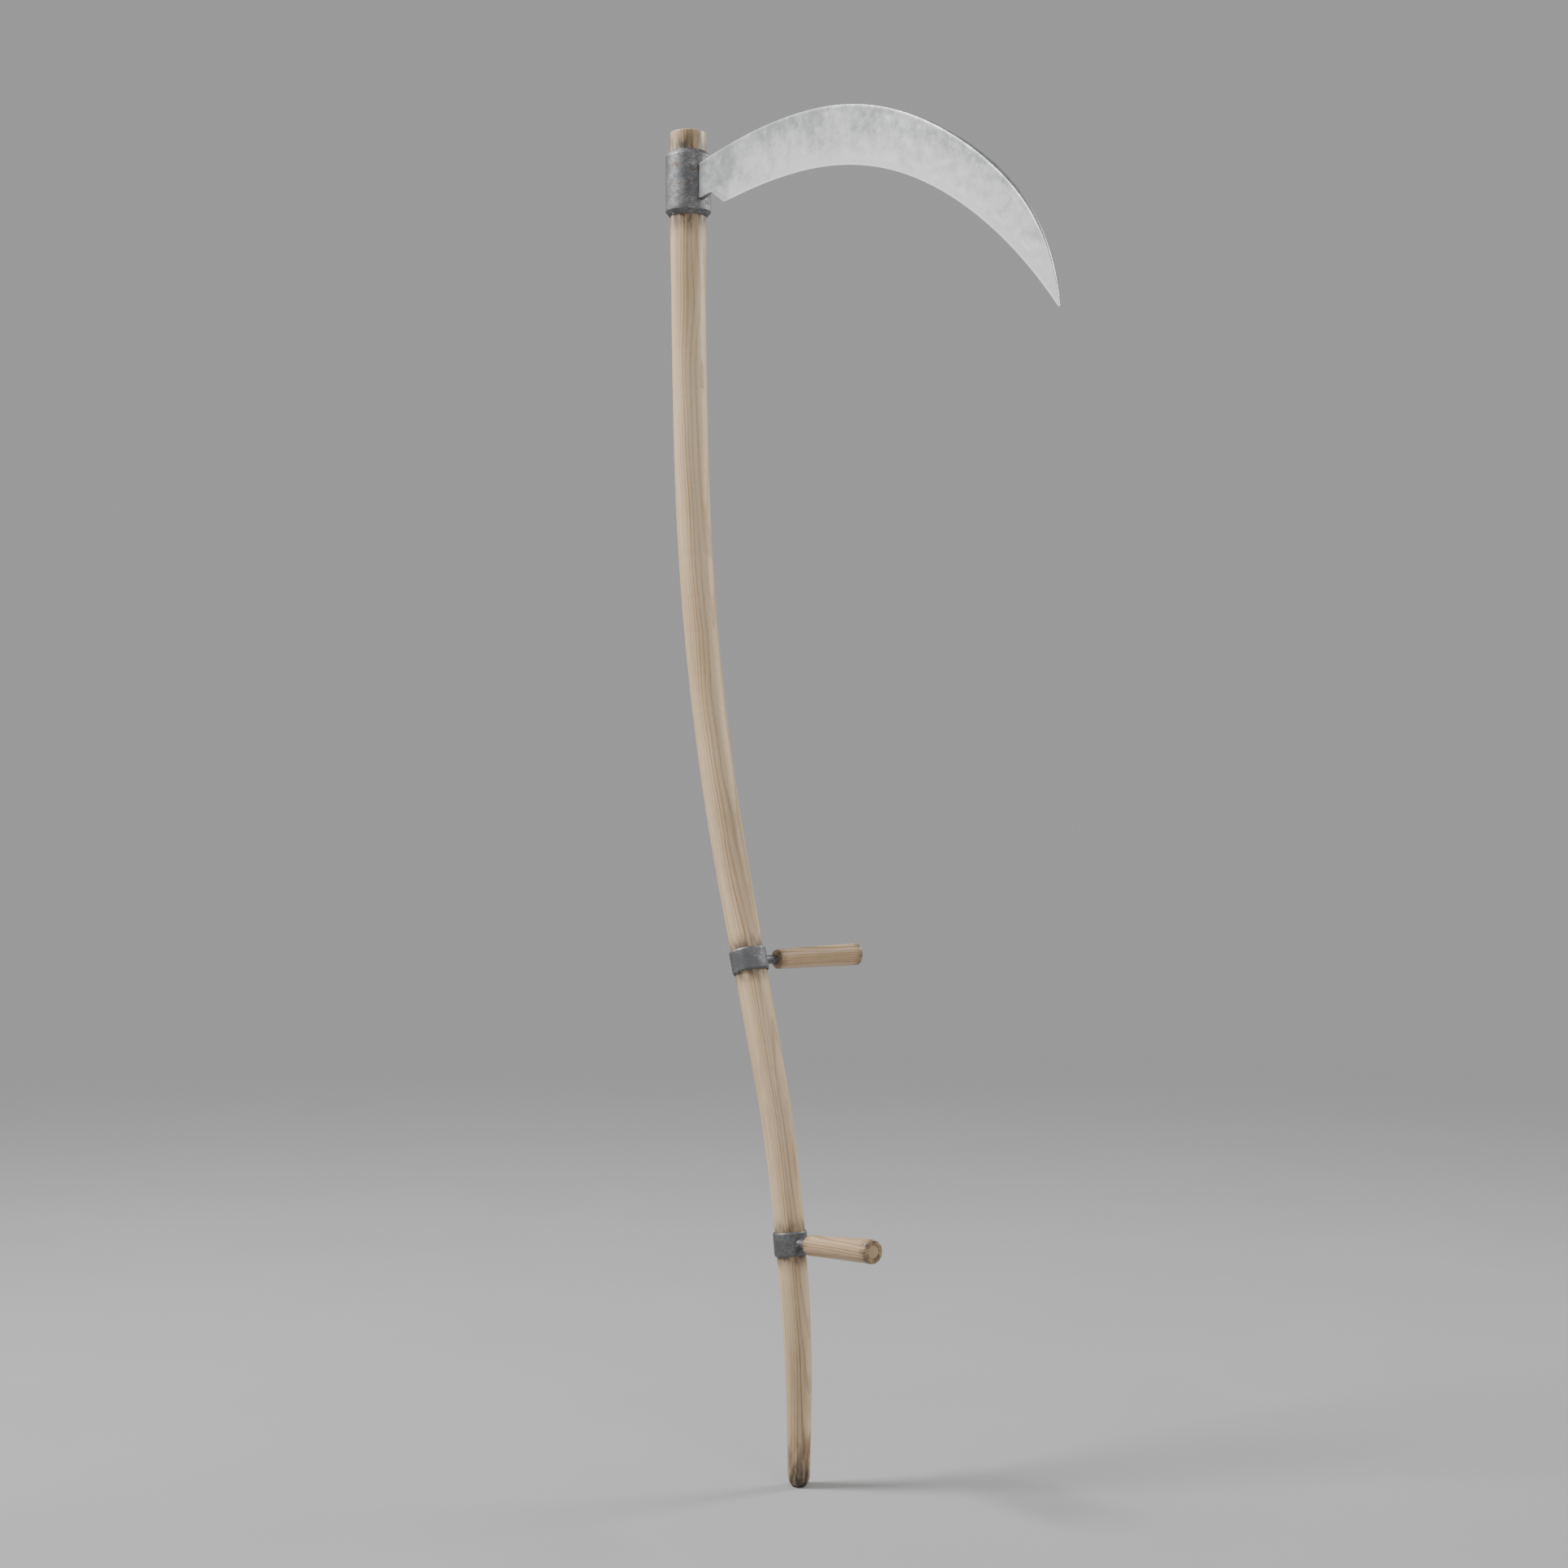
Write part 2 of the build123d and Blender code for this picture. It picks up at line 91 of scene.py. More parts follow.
# Blade
WEB = 2.2 * MM
BEVEL_WIDTH = 7.0 * MM
BEVEL_DEPTH = 1.7 * MM
RIB_WIDTH = 7.2 * MM
RIB_FILLET = 4.5 * MM
POINT_TAPER = 90 * MM
POINT_THICKNESS = 1.0 * MM
SHOULDER = (45 * MM, 112 * MM)
BLADE_HAMMER_DEPTH = 0.30 * MM
CORNER = 0.7 * MM
OUTLINE_STEPS = 1800
OUTLINE_PASSES = 24
COLUMN_STEPS = (14, 8, 14, 250)
HEEL_BETWEEN = (60 * MM, 120 * MM)
LOWER_MARKS = (36 * MM, 56 * MM)
UPPER_MARKS = (41 * MM, 60 * MM, 92 * MM)
WEB_STEPS = 13

# Collar
COLLAR_WALL = 5.75 * MM
RIM_DEPTH = 5.2 * MM
RIM_HEIGHT = 5.6 * MM
COLLAR_HAMMER_DEPTH = 0.2 * MM

# Ring bolts and what they carry
SIDES = ("upper", "lower")
RING_WALL = 1.5 * MM
RING_HEIGHT = 27.5 * MM
RING_RIM = 0.9 * MM
RING_RIM_HEIGHT = 2.0 * MM
RING_HAMMER_DEPTH = 0.12 * MM
FIT = 0.05 * MM
BOSS_RADIUS = 5.2 * MM
BOSS_HEIGHT = 5.0 * MM
ROD_RADIUS = 5.2 * MM
SPINDLE_RADIUS = 4.0 * MM
ROD_FILLET = 1.2 * MM
SCREW_RADIUS = 2.5 * MM
SCREW_HOLE = 2.55 * MM
SCREW_PITCH = 0.8 * MM
THREAD_DEPTH = 0.28 * MM
SCREW_HEAD_HEIGHT = 4.0 * MM
SCREW_HEAD_WIDTH = 7.6 * MM
SCREW_HEAD_CORNER = 5.05 * MM
GRIP_BORE = 4.08 * MM
GRIP_FOOT_RADIUS = 11.8 * MM
GRIP_EDGE = 2.6 * MM
GRIP_TURNED_DEPTH = 0.16 * MM
NUT_APOTHEM = 5.5 * MM
RECESS_RADIUS = 7.0 * MM
RECESS_DEPTH = 14.0 * MM
LINER_GAP = 2.0 * MM

# Cut meshes: vertices nearer than this become one
WELD = 0.004 * MM


# ---------------------------------------------------------------- camera, floor and light

def make_camera():
    data = bpy.data.cameras.new("camera")
    data.sensor_width = 36
    data.lens = LENS
    camera = bpy.data.objects.new("camera", data)
    camera.location = CAMERA_AT
    camera.rotation_mode = "QUATERNION"
    camera.rotation_quaternion = Vector(CAMERA_LOOKS).to_track_quat("-Z", "Y")
    bpy.context.scene.collection.objects.link(camera)
    bpy.context.scene.camera = camera


def area_light(name, place, target, size, power, tint=(1, 1, 1)):
    data = bpy.data.lights.new(name, "AREA")
    data.shape = "DISK"
    data.size = size
    data.energy = power
    data.color = tint
    light = bpy.data.objects.new(name, data)
    light.location = place
    light.rotation_mode = "QUATERNION"
    light.rotation_quaternion = (Vector(target) - Vector(place)).to_track_quat("-Z", "Y")
    light.visible_camera = False
    bpy.context.scene.collection.objects.link(light)


# ---------------------------------------------------------------- shader helpers

class Graph:
    """A material's node tree, built by adding nodes whose inputs are values or other sockets."""

    def __init__(self, name):
        self.material = bpy.data.materials.new(name)
        self.material.use_nodes = True
        self.tree = self.material.node_tree
        self.tree.nodes.clear()

    def add(self, kind, inputs=None, **settings):
        node = self.tree.nodes.new("ShaderNode" + kind)
        for key, value in settings.items():
            setattr(node, key, value)
        for key, value in (inputs or {}).items():
            if isinstance(value, bpy.types.NodeSocket):
                self.tree.links.new(value, node.inputs[key])
            else:
                node.inputs[key].default_value = value
        return node

    def math(self, operation, a, b=0.0, clamp=False):
        return self.add("Math", {0: a, 1: b}, operation=operation, use_clamp=clamp).outputs[0]

    def between(self, value, low, high, to_low=0.0, to_high=1.0):
        """Map a value smoothly from low..high to to_low..to_high."""
        node = self.add("MapRange", {"Value": value, "From Min": low, "From Max": high,
                                     "To Min": to_low, "To Max": to_high},
                        interpolation_type="SMOOTHSTEP")
        return node.outputs[0]

    def mix(self, amount, a, b):
        node = self.add("Mix", data_type="RGBA")
        for index, value in ((0, amount), (6, a), (7, b)):
            if isinstance(value, bpy.types.NodeSocket):
                self.tree.links.new(value, node.inputs[index])
            else:
                node.inputs[index].default_value = value if index == 0 else (*value[:3], 1)
        return node.outputs[2]

    def noise(self, vector, scale, detail=3.0, roughness=0.5, stretch=(1, 1, 1)):
        mapped = self.add("Mapping", {"Vector": vector, "Scale": stretch}).outputs[0]
        return self.add("TexNoise", {"Vector": mapped, "Scale": scale, "Detail": detail,
                                     "Roughness": roughness}).outputs[0]

    def bump(self, height, strength, distance, normal=None):
        inputs = {"Height": height, "Strength": strength, "Distance": distance}
        if normal is not None:
            inputs["Normal"] = normal
        return self.add("Bump", inputs).outputs[0]

    def finish(self, inputs):
        shader = self.add("BsdfPrincipled", inputs)
        output = self.add("OutputMaterial")
        self.tree.links.new(shader.outputs[0], output.inputs[0])
        return self.material


def wood(name, light, dark, pore, ring=3.0 * MM, pith=(0.060, 0.022), gloss=0.44):
    """Straight-grained ash. The grain attribute runs across the wood in x and y, along it in z."""
    g = Graph(name)
    place = g.add("Attribute", attribute_name="grain").outputs["Vector"]
    # growth rings about a pith well outside the wood, wavering along the length
    slow = g.add("Mapping", {"Vector": place, "Scale": (14, 14, 2.6)}).outputs[0]
    waver = g.add("TexNoise", {"Vector": slow, "Scale": 1.0, "Detail": 2.0}).outputs["Color"]
    shift = g.add("VectorMath", {0: waver, 1: (0.5, 0.5, 0.5)}, operation="SUBTRACT").outputs[0]
    shift = g.add("VectorMath", {0: shift, 1: (0.026, 0.026, 0)}, operation="MULTIPLY").outputs[0]
    flat = g.add("VectorMath", {0: place, 1: (1, 1, 0)}, operation="MULTIPLY").outputs[0]
    from_pith = g.add("VectorMath", {0: flat, 1: (*pith, 0)}, operation="ADD").outputs[0]
    wavy = g.add("VectorMath", {0: from_pith, 1: shift}, operation="ADD").outputs[0]
    radius = g.add("VectorMath", {0: wavy}, operation="LENGTH").outputs["Value"]
    rings = g.math("DIVIDE", radius, ring)
    early = g.add("ValToRGB", {0: g.math("FRACT", rings)})
    stops = early.color_ramp.elements
    stops[0].position, stops[0].color = 0.0, (0.10, 0.10, 0.10, 1)
    stops[1].position, stops[1].color = 1.0, (0.38, 0.38, 0.38, 1)
    for position, level in ((0.08, 1.0), (0.28, 0.75), (0.42, 0.08)):
        stop = stops.new(position)
        stop.color = (level, level, level, 1)
    # some years' rings are darker than others
    year = g.add("TexWhiteNoise", {"W": g.math("FLOOR", rings)}, noise_dimensions="1D").outputs[0]
    band = g.math("MULTIPLY", early.outputs[0], g.between(year, 0.0, 1.0, 0.55, 1.25))
    # open pores in the early wood, and finer fibres everywhere
    pores = g.between(g.noise(place, 1.0, 2.0, 0.6, (2100, 2100, 55)), 0.56, 0.68)
    pores = g.math("MULTIPLY", pores, band)
    fibre = g.noise(place, 1.0, 4.0, 0.65, (620, 620, 9))
    broad = g.noise(place, 1.0, 3.0, 0.55, (46, 46, 3.4))
    tone = g.math("ADD", g.math("MULTIPLY", band, 0.50), g.math("MULTIPLY", fibre, 0.38))
    tone = g.math("ADD", tone, g.math("MULTIPLY", broad, 1.05))
    colour = g.mix(g.between(tone, 0.52, 1.34), light, dark)
    colour = g.mix(g.math("MULTIPLY", pores, 0.65), colour, pore)
    # handling: dirt and iron stain, kept in an attribute that is 0 on clean wood
    stain = g.add("Attribute", attribute_name="stain").outputs["Fac"]
    patchy = g.between(g.noise(place, 1.0, 4.0, 0.6, (150, 150, 42)), 0.32, 0.66, 0.35, 1.25)
    stain = g.math("MULTIPLY", stain, patchy, clamp=True)
    soak = g.math("MULTIPLY", stain, g.between(pores, 0.0, 0.6, 0.70, 1.0))
    colour = g.mix(g.math("MULTIPLY", soak, 1.45, clamp=True), colour, (0.060, 0.043, 0.031))
    # small dents and scratches
    nicks = g.between(g.noise(place, 1.0, 3.0, 0.5, (95, 95, 240)), 0.71, 0.83)
    scratch = g.between(g.noise(place, 1.0, 2.0, 0.5, (900, 60, 330)), 0.735, 0.77)
    marks = g.math("MAXIMUM", nicks, g.math("MULTIPLY", scratch, 0.5))
    colour = g.mix(g.math("MULTIPLY", marks, 0.55), colour, (0.16, 0.105, 0.06))
    height = g.math("ADD", g.math("MULTIPLY", pores, -1.0), g.math("MULTIPLY", fibre, 0.30))
    height = g.math("ADD", height, g.math("MULTIPLY", marks, -1.4))
    rough = g.between(fibre, 0.3, 0.75, gloss - 0.07, gloss + 0.10)
    rough = g.math("ADD", rough, g.math("MULTIPLY", pores, 0.25))
    rough = g.math("ADD", rough, g.math("MULTIPLY", stain, 0.12), clamp=True)
    return g.finish({"Base Color": colour, "Roughness": rough, "Coat Weight": 0.12,
                     "Coat Roughness": 0.30, "Specular IOR Level": 0.45,
                     "Normal": g.bump(height, 0.55, 0.10 * MM)})


def steel_blade(name):
    """Forged and ground carbon steel. The attribute holds (along, from the cutting edge, tang)."""
    g = Graph(name)
    place = g.add("TexCoord").outputs["Object"]
    along_across = g.add("Attribute", attribute_name="grain").outputs["Vector"]
    parts = g.add("SeparateXYZ", {0: along_across}).outputs
    from_edge, tang = parts[1], parts[2]
    cloudy = g.noise(place, 16, 9.0, 0.70)
    fine = g.noise(place, 170, 5.0, 0.72)
    speck = g.noise(place, 520, 3.0, 0.6)
    # grinding lines run from the edge towards the back, a few of them deep
    lines = g.noise(along_across, 1.0, 3.0, 0.6, (3200, 35, 1))
    scratch = g.between(g.noise(along_across, 1.0, 1.0, 0.5, (1500, 22, 1)), 0.66, 0.74)
    stray = g.between(g.noise(along_across, 1.0, 1.0, 0.5, (16, 1300, 1)), 0.70, 0.76)
    scratch = g.math("MAXIMUM", g.math("MULTIPLY", scratch, 0.6), g.math("MULTIPLY", stray, 0.6))
    # patina is thickest towards the rib and the tang, and rubbed off at the whetted edge
    inward = g.between(from_edge, 6 * MM, 62 * MM)
    patina = g.math("ADD", g.math("MULTIPLY", cloudy, 0.95), g.math("MULTIPLY", fine, 0.38))
    patina = g.math("ADD", patina, g.math("MULTIPLY", g.math("SUBTRACT", lines, 0.5), 0.30))
    patina = g.between(g.math("ADD", patina, g.math("MULTIPLY", inward, 0.24)), 0.60, 1.00)
    patina = g.math("MAXIMUM", patina, g.math("MULTIPLY", tang, 0.80))
    whetted = g.between(from_edge, 2.2 * MM, 4.0 * MM, 1.0, 0.0)
    ground = g.between(from_edge, BEVEL_WIDTH - 1 * MM, BEVEL_WIDTH + 3 * MM, 1.0, 0.0)
    patina = g.math("MULTIPLY", patina, g.math("SUBTRACT", 1.0, g.math("MULTIPLY", ground, 0.7)))
    patina = g.math("MULTIPLY", patina, g.math("SUBTRACT", 1.0, g.math("MULTIPLY", scratch, 0.7)))
    colour = g.mix(patina, (0.72, 0.725, 0.72), (0.27, 0.275, 0.28))
    warm = g.between(g.noise(place, 34, 4.0, 0.6), 0.56, 0.74)
    colour = g.mix(g.math("MULTIPLY", warm, 0.35), colour, (0.33, 0.27, 0.21))
    rust = g.between(speck, 0.62, 0.70)
    rust = g.math("MULTIPLY", rust, g.between(cloudy, 0.46, 0.60))
    rust = g.math("MULTIPLY", rust, g.math("SUBTRACT", 1.0, whetted))
    colour = g.mix(g.math("MULTIPLY", rust, 0.75), colour, (0.16, 0.075, 0.035))
    colour = g.mix(g.math("MULTIPLY", whetted, 0.85), colour, (0.80, 0.80, 0.79))
    hammer = g.add("TexVoronoi", {"Vector": place, "Scale": 62.0, "Smoothness": 0.9},
                   feature="SMOOTH_F1").outputs["Distance"]
    normal = g.bump(hammer, 0.16, 0.45 * MM)
    normal = g.bump(fine, 0.12, 0.20 * MM, normal)
    normal = g.bump(g.math("SUBTRACT", lines, scratch), 0.20, 0.05 * MM, normal)
    normal = g.bump(rust, 0.4, 0.06 * MM, normal)
    rough = g.math("ADD", g.between(patina, 0.0, 1.0, 0.27, 0.44), g.math("MULTIPLY", lines, 0.10))
    rough = g.math("ADD", rough, g.math("MULTIPLY", rust, 0.35))
    rough = g.math("SUBTRACT", rough, g.math("MULTIPLY", whetted, 0.12), clamp=True)
    metal = g.math("SUBTRACT", 1.0, g.math("MULTIPLY", rust, 0.8))
    return g.finish({"Base Color": colour, "Metallic": metal, "Roughness": rough,
                     "Normal": normal})


def iron(name, scale_tone, bright_tone, wear=0.8, rough_low=0.34, rough_high=0.60, rust_share=0.5):
    """Forged iron: dark scale, rubbed bright where edges stand proud, with a little rust."""
    g = Graph(name)
    place = g.add("TexCoord").outputs["Object"]
    cloudy = g.noise(place, 38, 5.0, 0.6)
    fine = g.noise(place, 420, 4.0, 0.65)
    scuffs = g.noise(place, 1.0, 3.0, 0.6, (260, 260, 900))
    proud = g.add("NewGeometry").outputs["Pointiness"]
    edge = g.between(g.math("ADD", proud, g.math("MULTIPLY", fine, 0.16)), 0.585, 0.720)
    worn = g.math("ADD", g.math("MULTIPLY", cloudy, 0.55), g.math("MULTIPLY", scuffs, 0.45))
    worn = g.between(worn, 0.44, 0.66)
    bright = g.math("MAXIMUM", g.math("MULTIPLY", edge, wear), g.math("MULTIPLY", worn, 0.42))
    colour = g.mix(bright, scale_tone, bright_tone)
    rust = g.between(g.math("ADD", g.noise(place, 150, 5.0, 0.7), g.math("MULTIPLY", cloudy, 0.25)),
                     0.66, 0.80)
    rust = g.math("MULTIPLY", rust, rust_share)
    colour = g.mix(rust, colour, (0.17, 0.085, 0.045))
    dent = g.add("TexVoronoi", {"Vector": place, "Scale": 130.0, "Smoothness": 0.8},
                 feature="SMOOTH_F1").outputs["Distance"]
    normal = g.bump(dent, 0.35, 0.35 * MM)
    normal = g.bump(fine, 0.35, 0.07 * MM, normal)
    rough = g.between(bright, 0.0, 1.0, rough_high, rough_low)
    rough = g.math("ADD", rough, g.math("MULTIPLY", rust, 0.25), clamp=True)
    metal = g.math("SUBTRACT", 1.0, g.math("MULTIPLY", rust, 0.9))
    return g.finish({"Base Color": colour, "Metallic": metal, "Roughness": rough,
                     "Normal": normal})


def leather(name):
    """Thin vegetable-tanned leather with a fine, dark-lined grain."""
    g = Graph(name)
    place = g.add("TexCoord").outputs["Object"]
    grain = g.add("TexVoronoi", {"Vector": place, "Scale": 1300.0, "Randomness": 0.95},
                  feature="DISTANCE_TO_EDGE").outputs["Distance"]
    crease = g.between(grain, 0.0, 0.10)
    cloudy = g.noise(place, 60, 4.0, 0.6)
    colour = g.mix(cloudy, (0.23, 0.135, 0.075), (0.105, 0.060, 0.035))
    colour = g.mix(crease, (0.05, 0.028, 0.016), colour)
    return g.finish({"Base Color": colour, "Roughness": g.between(cloudy, 0.2, 0.8, 0.5, 0.72),
                     "Sheen Weight": 0.08, "Normal": g.bump(crease, 0.4, 0.08 * MM)})


# ---------------------------------------------------------------- mesh helpers

class Form:
    """A mesh in the making. Each vertex may have a grain coordinate and a stain from 0 to 1."""

    def __init__(self):
        self.bm = bmesh.new()
        self.grain = []
        self.stain = []

    def vert(self, place, grain=(0, 0, 0), stain=0.0):
        self.grain.append(grain)
        self.stain.append(stain)
        return self.bm.verts.new(place)

    def bridge(self, rings, around=True):
        """Faces between neighbouring rings, where a ring of one vertex is the tip of a cone."""
        for low, high in zip(rings, rings[1:]):
            count = max(len(low), len(high))
            for column in range(count if around else count - 1):
                after = (column + 1) % count
                if len(low) == 1:
                    self.bm.faces.new((low[0], high[after], high[column]))
                elif len(high) == 1:
                    self.bm.faces.new((low[column], low[after], high[0]))
                else:
                    self.bm.faces.new((low[column], low[after], high[after], high[column]))

    def lathe(self, profile, matrix, sides=96, loop=False, shape=None, stain=0.0, sweep=math.tau):
        """Turn a profile of (radius, height) about the matrix's z. A loop joins its two ends."""
        around = sweep > math.tau - 1e-6
        rings = []
        for radius, height in profile:
            if radius < 1e-7:
                rings.append([self.vert(matrix @ Vector((0, 0, height)), (0, 0, height), stain)])
                continue
            ring = []
            for column in range(sides if around else sides + 1):
                angle = sweep * (column / sides - (0 if around else 0.5))
                out = shape(radius, angle, height) if shape else radius
                local = Vector((math.cos(angle) * out, math.sin(angle) * out, height))
                dirt = stain(angle, height) if callable(stain) else stain
                ring.append(self.vert(matrix @ local, tuple(local), dirt))
            rings.append(ring)
        self.bridge(rings + rings[:1] if loop else rings, around)
        if not around:
            self.bm.faces.new([ring[0] for ring in rings])
            self.bm.faces.new([ring[-1] for ring in reversed(rings)])
        return rings

    def mesh(self, name):
        """The finished mesh, with its outward normals and its attributes."""
        bmesh.ops.recalc_face_normals(self.bm, faces=self.bm.faces)
        mesh = bpy.data.meshes.new(name)
        count = len(self.bm.verts)
        self.bm.to_mesh(mesh)
        self.bm.free()
        if count == len(self.grain):
            grain = mesh.attributes.new("grain", "FLOAT_VECTOR", "POINT")
            grain.data.foreach_set("vector", [value for place in self.grain for value in place])
            stain = mesh.attributes.new("stain", "FLOAT", "POINT")
            stain.data.foreach_set("value", self.stain)
        return mesh


def shade(mesh, sharp):
    """Smooth shading but for edges sharper than an angle in degrees."""
    for polygon in mesh.polygons:
        polygon.use_smooth = True
    mesh.set_sharp_from_angle(angle=math.radians(sharp))


def new_piece(name, form, material, body, node, sharp=40):
    """Make a form into a finished piece that rides on its body and stands for its CAD node."""
    mesh = form.mesh(name)
    mesh.materials.append(material)
    shade(mesh, sharp)
    piece = bpy.data.objects.new(name, mesh)
    bpy.context.scene.collection.objects.link(piece)
    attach(piece, body)
    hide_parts(node)
    return piece


def combine(piece, form, operation="DIFFERENCE", sharp=40):
    """Cut a closed form out of a piece, or add it on, and keep the result as the piece's mesh."""
    tool = bpy.data.objects.new("tool", form.mesh("tool"))
    tool.data.materials.append(piece.data.materials[0])
    shade(tool.data, sharp)
    bpy.context.scene.collection.objects.link(tool)
    modifier = piece.modifiers.new("combine", "BOOLEAN")
    modifier.operation = operation
    modifier.solver = "EXACT"
    modifier.object = tool
    graph = bpy.context.evaluated_depsgraph_get()
    result = bpy.data.meshes.new_from_object(piece.evaluated_get(graph))
    bm = bmesh.new()
    bm.from_mesh(result)
    bmesh.ops.remove_doubles(bm, verts=bm.verts, dist=WELD)
    bmesh.ops.dissolve_degenerate(bm, edges=bm.edges, dist=WELD)
    bm.to_mesh(result)
    bm.free()
    piece.modifiers.clear()
    piece.data = result
    shade(result, sharp)
    bpy.data.objects.remove(tool)


def rounded(points, radius, steps=4):
    """An open profile with its corners rounded. A point may give its own radius as a third value."""
    flat = [Vector(point[:2]) for point in points]
    result = [flat[0]]
    for index in range(1, len(flat) - 1):
        corner = flat[index]
        back, ahead = flat[index - 1] - corner, flat[index + 1] - corner
        wanted = points[index][2] if len(points[index]) == 3 else radius
        reach = min(wanted, back.length * 0.45, ahead.length * 0.45)
        start, end = corner + back.normalized() * reach, corner + ahead.normalized() * reach
        for step in range(steps + 1):
            t = step / steps
            result.append(start * (1 - t) ** 2 + corner * (2 * t * (1 - t)) + end * t ** 2)
    result.append(flat[-1])
    return result


def divided(path, step):
    """A path with its long stretches divided into steps."""
    fine = []
    for a, b in zip(path, path[1:]):
        pieces = max(1, round((b - a).length / step))
        fine += [a.lerp(b, part / pieces) for part in range(pieces)]
    return fine + [path[-1]]


def section_loop(corners, radius, step=4 * MM):
    """A closed profile with all its corners rounded, for a lathe whose profile is a loop."""
    first = (Vector(corners[0][:2]) + Vector(corners[-1][:2])) / 2
    return divided(rounded([tuple(first), *corners, tuple(first)], radius), step)[:-1]


def axes(origin, axis, side):
    """Matrix whose z is axis and whose x is near side."""
    z = Vector(axis).normalized()
    x = Vector(side)
    x = (x - z * x.dot(z)).normalized()
    return Matrix.Translation(origin) @ Matrix((x, z.cross(x), z)).transposed().to_4x4()


def turned_size(node, matrix):
    """(lowest, highest, smallest radius, largest radius) of a CAD node about a matrix's z."""
    inverse = matrix.inverted()
    local = [inverse @ vert.co for vert in frame["nodes"][node].data.vertices]
    heights = [place.z for place in local]
    radii = [place.xy.length for place in local]
    return min(heights), max(heights), min(radii), max(radii)


def block(matrix, low, high):
    """A closed box with a matrix's directions, used to cut slots."""
    form = Form()
    verts = [form.vert(matrix @ Vector((x, y, z))) for x in (low[0], high[0])
             for y in (low[1], high[1]) for z in (low[2], high[2])]
    for face in ((0, 1, 3, 2), (4, 6, 7, 5), (0, 4, 5, 1), (2, 3, 7, 6), (0, 2, 6, 4), (1, 5, 7, 3)):
        form.bm.faces.new([verts[index] for index in face])
    return form


def smoothstep(value, low, high):
    t = min(1.0, max(0.0, (value - low) / (high - low)))
    return t * t * (3 - 2 * t)


def noise_share(*place):
    """Smooth noise from about 0 to 1."""
    return 0.5 + 0.5 * noise.noise(Vector(place))


def hammering(start, full, depth, spacing):
    """A shape for a lathe: hammer marks, from none at one radius to full depth at another."""
    def shape(radius, angle, level):
        share = smoothstep(radius, start, full)
        marks = noise_share(math.cos(angle) * 3, math.sin(angle) * 3, level * spacing)
        return radius - depth * share * marks

    return shape


def polygon_radius(apothem, sides, angle):
    """Distance from the middle of a regular polygon to its side, in a direction."""
    sector = math.tau / sides
    return apothem / math.cos((angle + sector / 2) % sector - sector / 2)


# ---------------------------------------------------------------- pole

def cad_tree(node):
    """Ray tree of a CAD node's mesh."""
    mesh = frame["nodes"][node].data
    return BVHTree.FromPolygons([v.co for v in mesh.vertices], [p.vertices for p in mesh.polygons])


def pole_heights(top):
    """Heights of the pole's rings: closer together where its ends are rounded."""
    heights = [h * MM for h in (0.02, 0.25, 0.6, 1.1, 1.8, 2.8, 4, 5.5, 7.5, 10, 13)]
    while heights[-1] + STATION_STEP < top - 1.2 * MM:
        heights.append(heights[-1] + STATION_STEP)
    return heights + [top - h * MM for h in (1.05, 0.7, 0.35, 0.02)]


def pole_stations():
    """(centre, radius) up the pole, measured from the CAD pole by casting rays at it."""
    tree = cad_tree("snath")
    head_x = MOUNTS["head_stub"]["pos_m"][0]
    stations = []
    for height in pole_heights(BOX["snath"][1].z):
        centre_x = head_x
        if height < HEAD_STRAIGHT:
            left = tree.ray_cast(Vector((-1, 0, height)), Vector((1, 0, 0)))[0]
            right = tree.ray_cast(Vector((1, 0, height)), Vector((-1, 0, 0)))[0]
            centre_x = (left.x + right.x) / 2
        side = tree.ray_cast(Vector((centre_x, -1, height)), Vector((0, 1, 0)))[0]
        stations.append((Vector((centre_x, 0, height)), abs(side.y)))
    return stations


def pole_stain(centre):
    """How dirty the pole is at a height: most at the butt, and beside the iron."""
    collar_low, collar_high = BOX["head_collar"]
    near_collar = min(abs(centre.z - collar_low.z), abs(centre.z - collar_high.z))
    seats = [Vector(JOINTS[f"{side}_swivel"]["pos_m"]) for side in SIDES]
    near_ring = min(abs((centre - place).length - RING_EDGE) for place in seats)
    held = min(abs((centre - place).length - HAND_DISTANCE) for place in seats)
    return max(dark * (1 - smoothstep(distance, start, end)) for distance, start, (dark, end) in (
        (near_collar, 0, COLLAR_STAIN), (near_ring, 0, RING_STAIN),
        (centre.z, 2 * MM, BUTT_STAIN), (held, 0, HAND_STAIN)))


def pole_ring(form, centre, up, radius, length, share=1.0, stain=0.0):
    """A ring of vertices round the pole, with the long, nearly flat facets of a shaving tool."""
    across = Vector((0, 1, 0)).cross(up).normalized()
    ring = []
    for side in range(POLE_SIDES):
        x, y = math.cos(math.tau * side / POLE_SIDES), math.sin(math.tau * side / POLE_SIDES)
        shaved = noise_share(x * 1.9, y * 1.9, length * 7)
        out = radius - (SHAVED_DEPTH * shaved if radius > 10 * MM else 0.0)
        place = centre + (across * x + Vector((0, 1, 0)) * y) * out * share
        ring.append(form.vert(place, (x * out * share, y * out * share, length), stain))
    return ring


